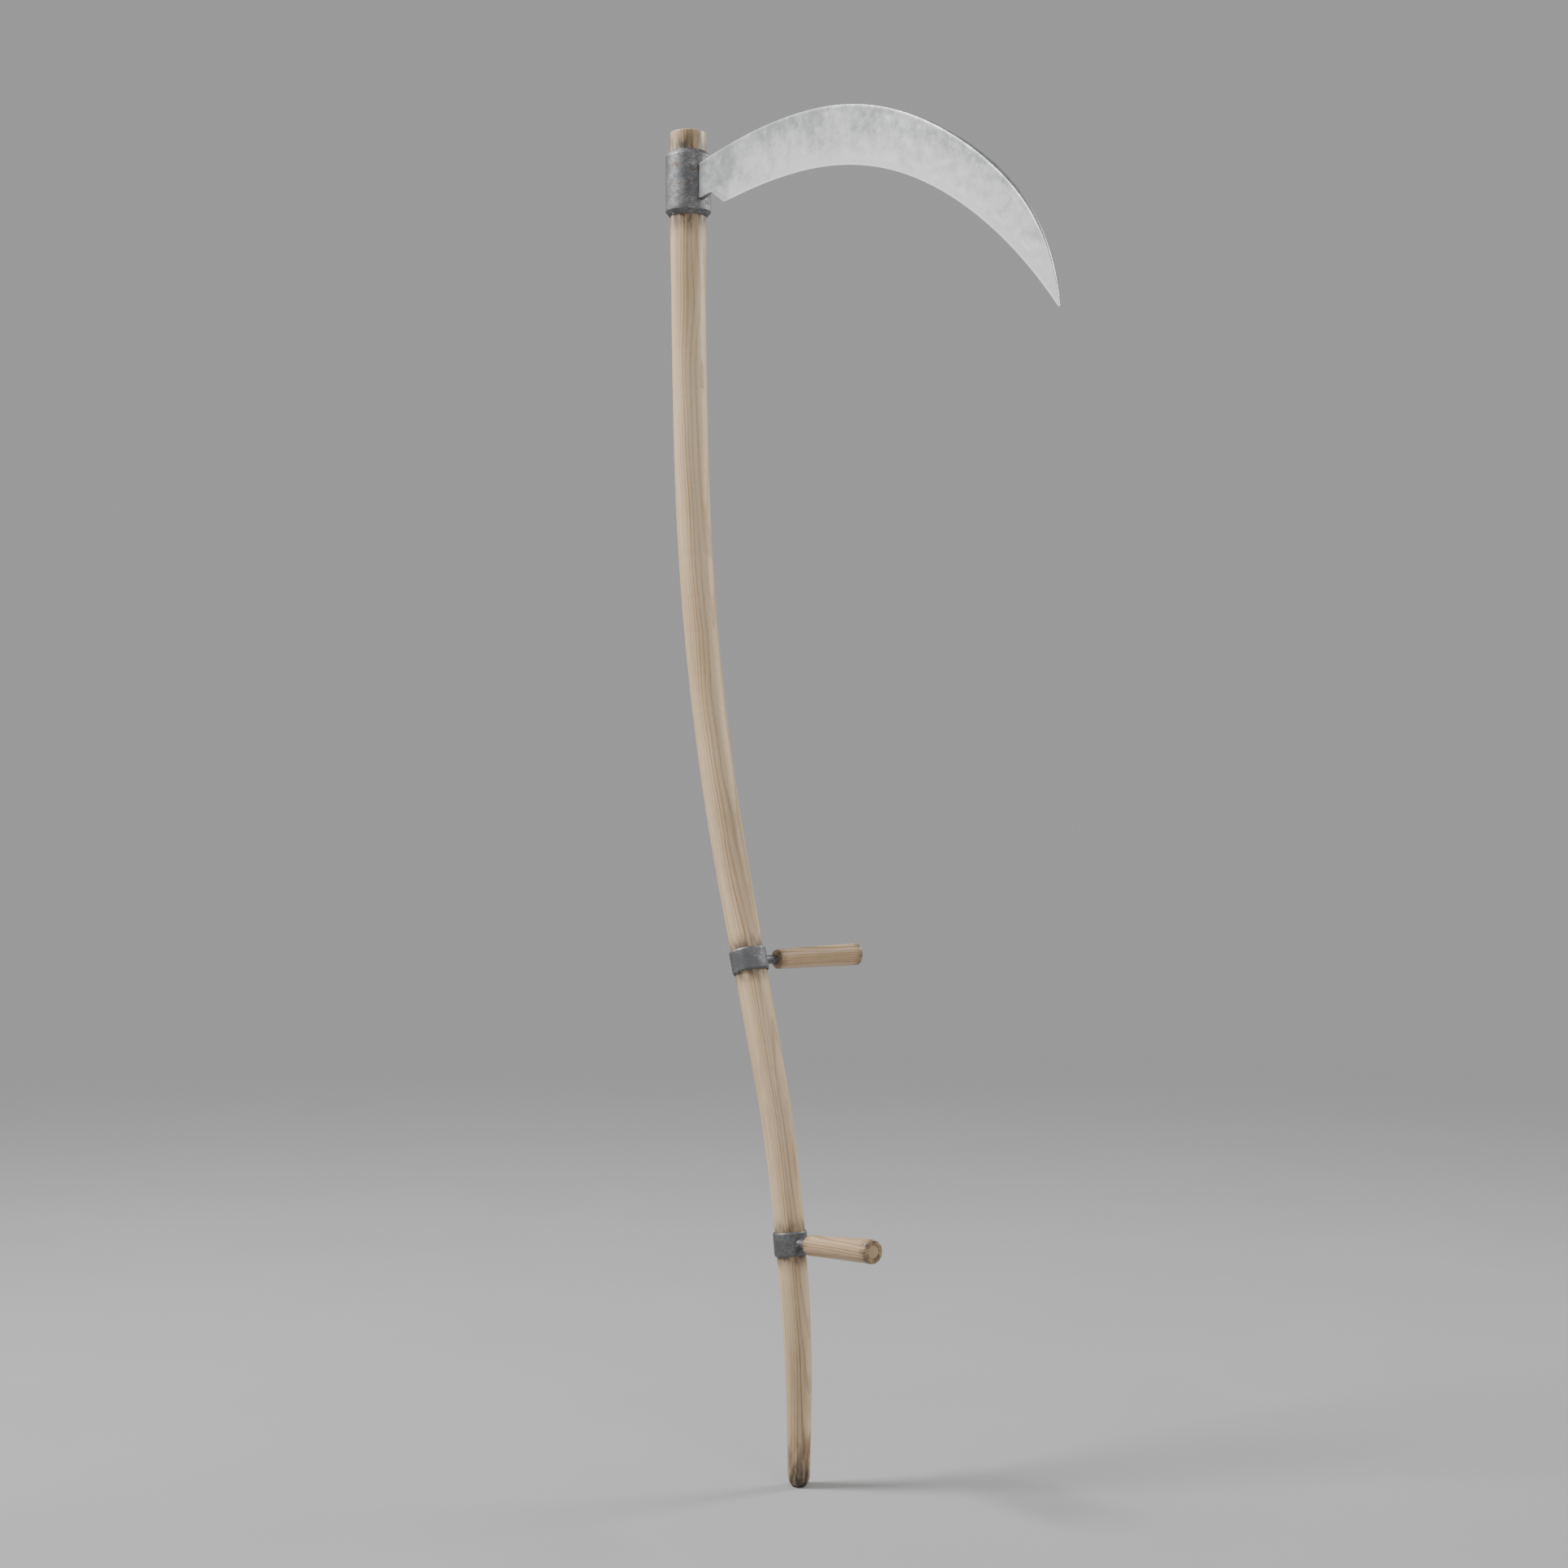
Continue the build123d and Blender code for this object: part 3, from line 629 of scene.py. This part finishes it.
def make_pole(material):
    stations = pole_stations()
    form = Form()
    rings = []
    length = 0.0
    for index, (centre, radius) in enumerate(stations):
        before = stations[max(0, index - 3)][0]
        after = stations[min(len(stations) - 1, index + 3)][0]
        length += (centre - stations[max(0, index - 1)][0]).length
        from_end = min(centre.z, stations[-1][0].z - centre.z)
        up = Vector((0, 0, 1)).lerp((after - before).normalized(), smoothstep(from_end, 0, 30 * MM))
        rings.append(pole_ring(form, centre, up, radius, length, 1.0, pole_stain(centre)))
    form.bridge(rings)
    for ring, (centre, radius), at in ((rings[0], stations[0], 0.0),
                                       (rings[-1], stations[-1], length)):
        inner = [ring]
        for share in (0.82, 0.55, 0.28):
            inner.append(pole_ring(form, centre, Vector((0, 0, 1)), radius, at, share, 0.4))
        form.bridge(inner + [[form.vert(centre, (0, 0, at), 0.4)]])
    pole = new_piece("pole", form, material, "pole", "snath", sharp=50)
    combine(pole, tang_slot(), sharp=50)
    combine(pole, wedge_slot(), sharp=50)
    return pole


# ---------------------------------------------------------------- head

def tang_matrix():
    """The tang's directions: x out along it, y towards the back, z up, from the pole's axis."""
    out = Vector(JOINTS["blade_draw"]["axis"])
    up = Vector((-out.z, 0, out.x))
    low, high = BOX["tang_wedge"]
    middle = (low + high) / 2
    head_x = MOUNTS["head_stub"]["pos_m"][0]
    origin = middle + out * ((head_x - middle.x) / out.x)
    origin.y = 0
    return Matrix.Translation(origin) @ Matrix((out, Vector((0, 1, 0)), up)).transposed().to_4x4()


def wedge_reach():
    """(inner end, outer end, half height) of the wedge in the tang's directions."""
    inverse = tang_matrix().inverted()
    local = [inverse @ vert.co for vert in frame["nodes"]["tang_wedge"].data.vertices]
    along = [place.x for place in local]
    return max(along), min(along), max(place.z for place in local)


def tang_slot():
    half_y = BOX["blade"][1].y + SLOT_GAP
    half_z = TANG_HEIGHT / 2 + SLOT_GAP
    return block(tang_matrix(), (TANG_INNER_END - 1 * MM, -half_y, -half_z), (60 * MM, half_y, half_z))


def wedge_slot():
    low, high = BOX["tang_wedge"]
    inner, _, half = wedge_reach()
    half += SLOT_GAP
    return block(tang_matrix(), (-60 * MM, low.y - SLOT_GAP, -half),
                 (inner + 1 * MM, high.y + 0.05 * MM, half))


def make_collar(material):
    low, high = BOX["head_collar"]
    outer = (high.x - low.x) / 2
    height = high.z - low.z
    corners = [(outer - COLLAR_WALL, 0), (outer - RIM_DEPTH, 0), (outer, RIM_HEIGHT),
               (outer, height - RIM_HEIGHT), (outer - RIM_DEPTH, height),
               (outer - COLLAR_WALL, height)]
    hammered = hammering(outer - RIM_DEPTH, outer - 1 * MM, COLLAR_HAMMER_DEPTH, 90)
    form = Form()
    centre = Vector(((low.x + high.x) / 2, 0, low.z))
    form.lathe(section_loop(corners, 0.9 * MM), Matrix.Translation(centre), 128, loop=True,
               shape=hammered)
    collar = new_piece("collar", form, material, "pole", "head_collar")
    combine(collar, tang_slot())
    combine(collar, wedge_slot())
    return collar


def make_wedge(material):
    low, high = BOX["tang_wedge"]
    inner, outer, half = wedge_reach()
    matrix = tang_matrix()
    form = block(matrix, (outer, low.y, -half), (inner, high.y, half))
    for vert in form.bm.verts:
        place = matrix.inverted() @ vert.co
        if place.x > 0 and place.y > low.y + 1 * MM:
            place.y = low.y + WEDGE_THIN_END
            vert.co = matrix @ place
    bmesh.ops.recalc_face_normals(form.bm, faces=form.bm.faces)
    bmesh.ops.bevel(form.bm, geom=form.bm.edges[:], offset=WEDGE_BEVEL, segments=4, affect="EDGES")
    spans = [edge for edge in form.bm.edges if edge.calc_length() > 2 * MM]
    bmesh.ops.subdivide_edges(form.bm, edges=spans, cuts=WEDGE_CUTS, use_grid_fill=True)
    form.bm.normal_update()
    struck = [(vert, noise_share(*(vert.co * 260))) for vert in form.bm.verts]
    for vert, share in struck:
        vert.co -= vert.normal * (WEDGE_HAMMER_DEPTH * share)
    return new_piece("wedge", form, material, "wedge", "tang_wedge")


def make_nail(name, material):
    """A forged nail with a round, pointed shank and a domed head struck a little flat."""
    low, high = BOX[name]
    head_x = MOUNTS["head_stub"]["pos_m"][0]
    level = (low.z + high.z) / 2
    middle = (low + high) / 2
    out = Vector((middle.x - head_x, middle.y, 0)).normalized()
    matrix = axes(Vector((head_x, 0, level)), out, (0, 0, 1))
    start, end, _, head = turned_size(name, matrix)
    neck = end - 1.25 * MM
    profile = [(0, start), (0.5 * MM, start + 0.4 * MM), (1.45 * MM, start + 6 * MM),
               (1.45 * MM, neck), (head - 0.35 * MM, neck), (head, neck + 0.35 * MM),
               (head * 0.72, end - 0.22 * MM), (head * 0.35, end), (0, end)]
    form = Form()
    form.lathe(rounded(profile, 0.5 * MM, 3), matrix, 40)
    return new_piece(f"{name}_forged", form, material, "pole", name)


# ---------------------------------------------------------------- blade

def front_outline():
    """The outline of the blade's flat front, as a loop of points (x, z)."""
    bm = bmesh.new()
    bm.from_mesh(frame["nodes"]["blade"].data)
    bmesh.ops.remove_doubles(bm, verts=bm.verts, dist=1e-6)
    limit = BOX["blade"][0].y + 0.01 * MM
    front = {face for face in bm.faces if all(vert.co.y < limit for vert in face.verts)}
    rim = [edge for edge in bm.edges if sum(face in front for face in edge.link_faces) == 1]
    neighbours = {}
    for edge in rim:
        for vert, other in (edge.verts, reversed(edge.verts)):
            neighbours.setdefault(vert, []).append(other)
    here = max(neighbours, key=lambda vert: vert.co.x)
    came_from, loop = None, []
    while here not in loop:
        loop.append(here)
        onward = [vert for vert in neighbours[here] if vert is not came_from]
        came_from, here = here, onward[0]
    points = [Vector((vert.co.x, vert.co.z)) for vert in loop]
    bm.free()
    return points


def walk(points, count):
    """Points spaced evenly along a polyline."""
    lengths = [0.0]
    for a, b in zip(points, points[1:]):
        lengths.append(lengths[-1] + (b - a).length)
    result = []
    at = 0
    for step in range(count + 1):
        target = lengths[-1] * step / count
        while at < len(points) - 2 and lengths[at + 1] < target:
            at += 1
        span = max(lengths[at + 1] - lengths[at], 1e-12)
        result.append(points[at].lerp(points[at + 1], min(1.0, (target - lengths[at]) / span)))
    return result


def softened(points, passes):
    """A polyline with its corners eased, its ends kept."""
    for _ in range(passes):
        inner = [(a + b * 2 + c) / 4 for a, b, c in zip(points, points[1:], points[2:])]
        points = [points[0], *inner, points[-1]]
    return points


def blade_chains(out, up, origin):
    """The blade's lower and upper outlines, both from the tang's inner end to the point."""
    loop = front_outline()
    count = range(len(loop))
    low = min(count, key=lambda i: (loop[i] - origin).dot(out) * 50 + (loop[i] - origin).dot(up))
    high = min(count, key=lambda i: (loop[i] - origin).dot(out) * 50 - (loop[i] - origin).dot(up))
    if low < high:
        lower, upper = loop[low::-1], loop[high:] + loop[:1]
    else:
        lower, upper = loop[low:] + loop[:1], loop[high::-1]
    return [softened(walk(chain, OUTLINE_STEPS), OUTLINE_PASSES) for chain in (lower, upper)]


def blade_columns():
    """(lower point, upper point, how far past the heel) from the tang's inner end to the point."""
    matrix = tang_matrix()
    origin = matrix.translation.xz
    out, up = matrix.col[0].xz, matrix.col[2].xz
    lower, upper = blade_chains(out, up, origin)

    def reach(chain, distance):
        return next(i for i, point in enumerate(chain) if point.x > origin.x + distance)

    near_heel = range(*(reach(lower, distance) for distance in HEEL_BETWEEN))
    heel = min(near_heel, key=lambda i: lower[i].y)
    low_marks = [0, *(reach(lower, mark) for mark in LOWER_MARKS), heel, len(lower) - 1]
    high_marks = [0, *(reach(upper, mark) for mark in UPPER_MARKS), len(upper) - 1]
    columns = []
    for part, steps in enumerate(COLUMN_STEPS):
        low = walk(lower[low_marks[part]:low_marks[part + 1] + 1], steps)
        high = walk(upper[high_marks[part]:high_marks[part + 1] + 1], steps)
        for step in range(steps):
            past_heel = step / steps if part == 3 else -1
            columns.append((low[step], high[step], past_heel))
    return columns


def blade_rows(width):
    """Distances up a column from the lower outline, closest together at the bevel and the rib."""
    low = [distance * MM for distance in (0.2, 0.8, 1.6, 2.8, 4.2, 5.6, 7.0, 8.6)]
    fillet = [RIB_WIDTH + RIB_FILLET * share for share in (1.4, 1.0, 0.75, 0.5, 0.25, 0.0)]
    high = [*fillet, RIB_WIDTH / 2, CORNER]
    scale = min(1.0, width * 0.8 / (low[-1] + high[0]))
    low = [distance * scale for distance in low]
    high = [width - distance * scale for distance in high]
    gap = high[0] - low[-1]
    return low + [low[-1] + gap * step / WEB_STEPS for step in range(1, WEB_STEPS)] + high


def blade_thickness(along, level, low, high, width, past_heel, to_point):
    """Thickness of the blade at a point, before its corners are eased."""
    full = BOX["blade"][1].y - BOX["blade"][0].y
    near_tang = 1 - smoothstep(along, *SHOULDER)
    in_line = max(smoothstep(level, -27 * MM, -16 * MM), 1 - smoothstep(along, 36 * MM, 56 * MM))
    scale = min(1.0, width / (30 * MM))
    rib = 1 - smoothstep(high, RIB_WIDTH * scale, (RIB_WIDTH + RIB_FILLET) * scale)
    thickness = WEB + (full - WEB) * max(near_tang * in_line, rib)
    limit = POINT_THICKNESS + (full - POINT_THICKNESS) * min(1.0, to_point / POINT_TAPER)
    thickness = min(thickness, limit)
    if past_heel >= 0:
        bevel = BEVEL_WIDTH * scale
        share = min(1.0, past_heel * 60) * max(0.0, 1 - low / bevel)
        thickness = max(0.3 * MM, thickness - BEVEL_DEPTH * share * min(1.0, thickness / WEB))
    return thickness


def hammered_by(place, seed, low, high):
    """Depth of the hammer's marks, which grinding has taken off by the edge and eased at the back."""
    mark = noise.noise(Vector((place.x * 62, place.y * 62, seed)))
    share = smoothstep(low, 7 * MM, 16 * MM) * smoothstep(high, 0.6 * MM, 5 * MM)
    return BLADE_HAMMER_DEPTH * smoothstep(mark, -0.35, 0.40) * share


def blade_section(form, lower, upper, past_heel, length, matrix, point_x):
    """One closed ring of vertices round the blade, across it at a column."""
    width = (upper - lower).length
    front = BOX["blade"][0].y
    inverse = matrix.inverted()
    rows = blade_rows(width)

    def at(low):
        place = lower.lerp(upper, low / width)
        local = inverse @ Vector((place.x, 0, place.y))
        thickness = blade_thickness(local.x, local.z, low, width - low, width, past_heel,
                                    point_x - place.x)
        return place, thickness, smoothstep(local.x, 70 * MM, 30 * MM)

    def vert(low, y):
        place, _, tang = at(low)
        from_edge = low + 40 * MM * (1 - smoothstep(past_heel, 0, 0.03))
        return form.vert(Vector((place.x, y, place.y)), (length, from_edge, tang))

    ring = [vert(low, front + hammered_by(at(low)[0], 1.0, low, width - low)) for low in rows]
    back = at(width)[1]
    corner = min(CORNER, back * 0.4)
    turns = [math.radians(turn) for turn in (30, 60, 90)]
    eased = [(width - corner + math.sin(turn) * corner, corner * (1 - math.cos(turn)))
             for turn in turns]
    ring += [vert(low, front + inward) for low, inward in eased]
    ring += [vert(low, front + back - inward) for low, inward in reversed(eased)]
    for low in reversed(rows):
        place, thickness, _ = at(low)
        mark = hammered_by(place, 9.0, low, width - low) if thickness > WEB * 0.9 else 0.0
        ring.append(vert(low, front + thickness - mark))
    edge = at(0)[1]
    ring.append(vert(0, front + edge * 0.7))
    ring.append(vert(0, front + edge * 0.3))
    return ring


def make_blade(material):
    matrix = tang_matrix()
    columns = blade_columns()
    point_x = BOX["blade"][1].x
    form = Form()
    rings = []
    length = 0.0
    for index, (lower, upper, past_heel) in enumerate(columns):
        middle = (lower + upper) / 2
        if index:
            length += (middle - (columns[index - 1][0] + columns[index - 1][1]) / 2).length
        rings.append(blade_section(form, lower, upper, past_heel, length, matrix, point_x))
    form.bridge(rings)
    form.bm.faces.new(reversed(rings[0]))
    form.bm.faces.new(rings[-1])
    return new_piece("blade_forged", form, material, "blade", "blade", sharp=32)


# ---------------------------------------------------------------- ring bolts, screws and grips

def direction(joint):
    return Vector(JOINTS[joint]["axis"]).normalized()


def seat(side):
    """Matrices at a ring's middle whose z is up the pole, out along the rod, and out along the screw."""
    origin = Vector(JOINTS[f"{side}_swivel"]["pos_m"])
    up, rod = direction(f"{side}_swivel"), direction(f"{side}_spin")
    return axes(origin, up, rod), axes(origin, rod, up), axes(origin, direction(f"{side}_screw_turn"), up)


def make_liner(side, material):
    ring, _, _ = seat(side)
    low, high, foot, outer = turned_size(f"{side}_liner", ring)
    corners = [(foot, low), (outer, low), (outer, high), (outer - 0.6 * MM, high)]
    form = Form()
    form.lathe(section_loop(corners, 0.12 * MM), ring, 96, loop=True, sweep=math.tau - LINER_GAP / outer)
    return new_piece(f"{side}_leather", form, material, f"{side}_liner", f"{side}_liner")


def ring_radii(side):
    """(bore, outer radius) of a ring, from the leather inside it."""
    bore = turned_size(f"{side}_liner", seat(side)[0])[3] + FIT
    return bore, bore + RING_WALL


def ring_form(side):
    half = RING_HEIGHT / 2
    bore, outer = ring_radii(side)
    corners = [(bore, -half), (outer - RING_RIM, -half), (outer, RING_RIM_HEIGHT - half),
               (outer, half - RING_RIM_HEIGHT), (outer - RING_RIM, half), (bore, half)]
    hammered = hammering(outer - RING_RIM, outer, RING_HAMMER_DEPTH, 110)
    form = Form()
    form.lathe(section_loop(corners, 0.35 * MM, 0.9 * MM), seat(side)[0], 180, loop=True,
               shape=hammered)
    return form


def rod_form(side):
    """The rod, its shoulder, and the spindle that the grip turns on."""
    _, rod, _ = seat(side)
    bore, outer = ring_radii(side)
    end = turned_size(f"{side}_ring_bolt", rod)[1]
    shoulder = turned_size(f"{side}_grip", rod)[0] - 0.1 * MM
    flare = ROD_RADIUS + ROD_FILLET
    profile = [(0, bore + 0.5 * MM), (flare, bore + 0.5 * MM), (flare, outer - 0.6 * MM),
               (ROD_RADIUS, outer + ROD_FILLET, ROD_FILLET), (ROD_RADIUS, shoulder),
               (SPINDLE_RADIUS, shoulder), (SPINDLE_RADIUS, end - 0.8 * MM),
               (SPINDLE_RADIUS - 0.8 * MM, end), (0, end)]
    form = Form()
    form.lathe(divided(rounded(profile, 0.3 * MM), 6 * MM), rod, 56)
    return form


def boss_form(side):
    _, _, screw = seat(side)
    bore, outer = ring_radii(side)
    top = outer + BOSS_HEIGHT
    foot = BOSS_RADIUS + 0.9 * MM
    profile = [(0, bore + 0.5 * MM), (foot, bore + 0.5 * MM), (foot, outer - 0.7 * MM),
               (BOSS_RADIUS, outer + 0.9 * MM), (BOSS_RADIUS, top - 0.7 * MM),
               (BOSS_RADIUS - 0.7 * MM, top), (0, top)]
    form = Form()
    form.lathe(rounded(profile, 0.4 * MM), screw, 56)
    return form


def screw_hole(side):
    _, _, screw = seat(side)
    bore, outer = ring_radii(side)
    form = Form()
    form.lathe([(0, bore / 2), (SCREW_HOLE, bore / 2), (SCREW_HOLE, outer + 9 * MM), (0, outer + 9 * MM)],
               screw, 56)
    return form


def make_ring_bolt(side, material):
    ring = new_piece(f"{side}_ring", ring_form(side), material, f"{side}_ring",
                     f"{side}_ring_bolt")
    combine(ring, rod_form(side), "UNION")
    combine(ring, boss_form(side), "UNION")
    combine(ring, screw_hole(side))
    return ring


def make_set_screw(side, material):
    """A set screw with a right-hand thread and a square head."""
    _, _, screw = seat(side)
    tip, top, _, _ = turned_size(f"{side}_set_screw", screw)
    head = top - SCREW_HEAD_HEIGHT
    half = SCREW_HEAD_WIDTH / 2
    shank = [(SCREW_RADIUS, height) for height in
             (tip + 0.5 * MM + SCREW_PITCH / 8 * step for step in range(200)) if height < head - 0.1 * MM]

    def threaded(radius, angle, height):
        if radius > SCREW_RADIUS + 0.01 * MM:
            return min(polygon_radius(radius, 4, angle), SCREW_HEAD_CORNER)
        if radius < SCREW_RADIUS:
            return radius
        turn = (height / SCREW_PITCH - angle / math.tau) % 1.0
        return radius - THREAD_DEPTH * (1 - abs(2 * turn - 1))

    profile = [(0, tip), (SCREW_RADIUS - 0.5 * MM, tip), *shank, (SCREW_RADIUS, head),
               (half - 0.25 * MM, head), (half, head + 0.25 * MM), (half, top - 0.9 * MM),
               (half - 0.15 * MM, top - 0.55 * MM), (half - 0.75 * MM, top - 0.1 * MM),
               (half - 1.1 * MM, top), (0, top)]
    form = Form()
    form.lathe(profile, screw, 64, shape=threaded)
    return new_piece(f"{side}_square_screw", form, material, f"{side}_screw",
                     f"{side}_set_screw", sharp=35)


def make_disc(node, name, matrix, body, material, ease):
    """A solid disc with eased edges, such as a pad or a plug."""
    low, high, _, outer = turned_size(node, matrix)
    profile = rounded([(0, low), (outer, low), (outer, high, ease), (0, high)], 0.15 * MM)
    form = Form()
    form.lathe(profile, matrix, 72)
    form.grain = [(z, y, x) for x, y, z in form.grain]
    return new_piece(name, form, material, body, node)


def make_washer(side, material):
    _, rod, _ = seat(side)
    low, high, hole, outer = turned_size(f"{side}_washer", rod)
    corners = [(hole, low), (outer, low), (outer, high), (hole, high)]
    form = Form()
    form.lathe(section_loop(corners, 0.25 * MM), rod, 72, loop=True)
    return new_piece(f"{side}_flat_washer", form, material, f"{side}_ring",
                     f"{side}_washer")


def make_nut(side, material):
    _, rod, _ = seat(side)
    low, high, _, _ = turned_size(f"{side}_nut", rod)
    hole = SPINDLE_RADIUS + FIT
    corners = [(hole, low), (NUT_APOTHEM, low), (NUT_APOTHEM, high), (hole, high)]

    def hexagonal(radius, angle, height):
        if radius < hole + 0.5 * MM:
            return radius
        from_end = min(height - low, high - height)
        chamfer = NUT_APOTHEM + 0.1 * MM + from_end * 1.7
        return min(polygon_radius(radius, 6, angle), chamfer)

    form = Form()
    form.lathe(section_loop(corners, 0.2 * MM, 0.5 * MM), rod, 96, loop=True, shape=hexagonal)
    return new_piece(f"{side}_hex_nut", form, material, f"{side}_ring", f"{side}_nut")


def make_grip(side, material):
    """A turned grip, a little thicker at its free end, with eased edges."""
    _, rod, _ = seat(side)
    low, high, _, outer = turned_size(f"{side}_grip", rod)
    floor = high - RECESS_DEPTH
    corners = [(GRIP_BORE, floor), (GRIP_BORE, low), (GRIP_FOOT_RADIUS, low, GRIP_EDGE),
               (outer, high, GRIP_EDGE), (RECESS_RADIUS, high), (RECESS_RADIUS, floor)]
    seed = SIDES.index(side) * 7.0

    def turned(radius, _, height):
        if radius < RECESS_RADIUS + 1 * MM:
            return radius
        return radius - GRIP_TURNED_DEPTH * noise_share(height * 60, seed, 0)

    def dirty(_, height):
        ends = 1 - smoothstep(min(height - low, high - height), 0, 14 * MM)
        return 0.12 + 0.5 * ends

    form = Form()
    form.lathe(section_loop(corners, 0.3 * MM, 1.5 * MM), rod, 112, loop=True, shape=turned, stain=dirty)
    form.grain = [(x + seed * 9 * MM, y, z + seed * 0.1) for x, y, z in form.grain]
    return new_piece(f"{side}_turned_grip", form, material, f"{side}_grip", f"{side}_grip")


# ---------------------------------------------------------------- floor, world and lights

def make_floor():
    """A wide pale floor. A few metres out it fades into the backdrop, so no horizon shows."""
    form = Form()
    form.lathe([(0, 0), (0.3, 0), (1, 0), (2, 0), (4, 0), (8, 0), (20, 0), (60, 0)],
               Matrix.Translation((0, 0, -0.1 * MM)), 96)
    mesh = form.mesh("floor")
    g = Graph("pale_floor")
    place = g.add("TexCoord").outputs["Object"]
    distance = g.add("VectorMath", {0: place}, operation="LENGTH").outputs["Value"]
    cloudy = g.noise(place, 3.0, 3.0)
    lit = g.add("BsdfDiffuse", {"Color": g.mix(cloudy, FLOOR_TONE, FLOOR_TONE_2)}).outputs[0]
    far = g.add("Emission", {"Color": (*BACKDROP, 1)}).outputs[0]
    mixed = g.add("MixShader", {0: g.between(distance, *FLOOR_FADE), 1: lit, 2: far})
    output = g.add("OutputMaterial")
    g.tree.links.new(mixed.outputs[0], output.inputs[0])
    mesh.materials.append(g.material)
    floor = bpy.data.objects.new("floor", mesh)
    bpy.context.scene.collection.objects.link(floor)


def make_world():
    world = bpy.data.worlds.new("studio")
    world.use_nodes = True
    background = world.node_tree.nodes["Background"]
    background.inputs[0].default_value = (*BACKDROP, 1)
    background.inputs[1].default_value = 1.0
    bpy.context.scene.world = world


def make_lights():
    middle = (0, 0, 0.85)
    area_light("key", (-1.7, -2.4, 3.9), middle, 1.2, 300)
    area_light("blade_glow", (-3.2, -2.6, 2.2), (0, 0, 1.5), 1.9, 10)
    area_light("fill", (3.0, -0.4, 1.6), middle, 1.6, 26)
    area_light("rim", (0.6, 3.0, 2.8), middle, 1.2, 90)


# ---------------------------------------------------------------- the scene

make_camera()
make_world()
make_floor()
make_lights()

ash = wood("ash_pole", (0.70, 0.535, 0.34), (0.40, 0.255, 0.13), (0.19, 0.112, 0.055))
grip_ash = wood("ash_grip", (0.62, 0.445, 0.265), (0.34, 0.205, 0.10), (0.16, 0.09, 0.045), gloss=0.36)
plug_ash = wood("plug_wood", (0.50, 0.35, 0.21), (0.29, 0.18, 0.095), (0.14, 0.085, 0.045))
steel = steel_blade("blade_steel")
forged = iron("forged_iron", (0.15, 0.152, 0.158), (0.50, 0.50, 0.50))
wedge_iron = iron("wedge_iron", (0.12, 0.12, 0.125), (0.46, 0.46, 0.45), rust_share=0.7)
nail_iron = iron("nail_iron", (0.11, 0.11, 0.115), (0.44, 0.44, 0.44), rust_share=0.6)
screw_steel = iron("screw_steel", (0.32, 0.32, 0.325), (0.62, 0.62, 0.62), rough_low=0.26,
                   rough_high=0.45, rust_share=0.25)
brass = iron("pad_brass", (0.42, 0.30, 0.12), (0.72, 0.56, 0.27), rough_low=0.25, rough_high=0.45,
             rust_share=0.0)
hide = leather("leather")

make_pole(ash)
make_collar(forged)
make_blade(steel)
make_wedge(wedge_iron)
for level in ("top", "bottom"):
    make_nail(f"collar_nail_{level}", nail_iron)
for side in SIDES:
    make_liner(side, hide)
    make_ring_bolt(side, forged)
    make_set_screw(side, screw_steel)
    make_disc(f"{side}_screw_pad", f"{side}_brass_pad", seat(side)[2], f"{side}_pad",
              brass, 0.15 * MM)
    make_grip(side, grip_ash)
    make_washer(side, screw_steel)
    make_nut(side, screw_steel)
    make_disc(f"{side}_plug", f"{side}_end_plug", seat(side)[1], f"{side}_grip",
              plug_ash, 0.3 * MM)
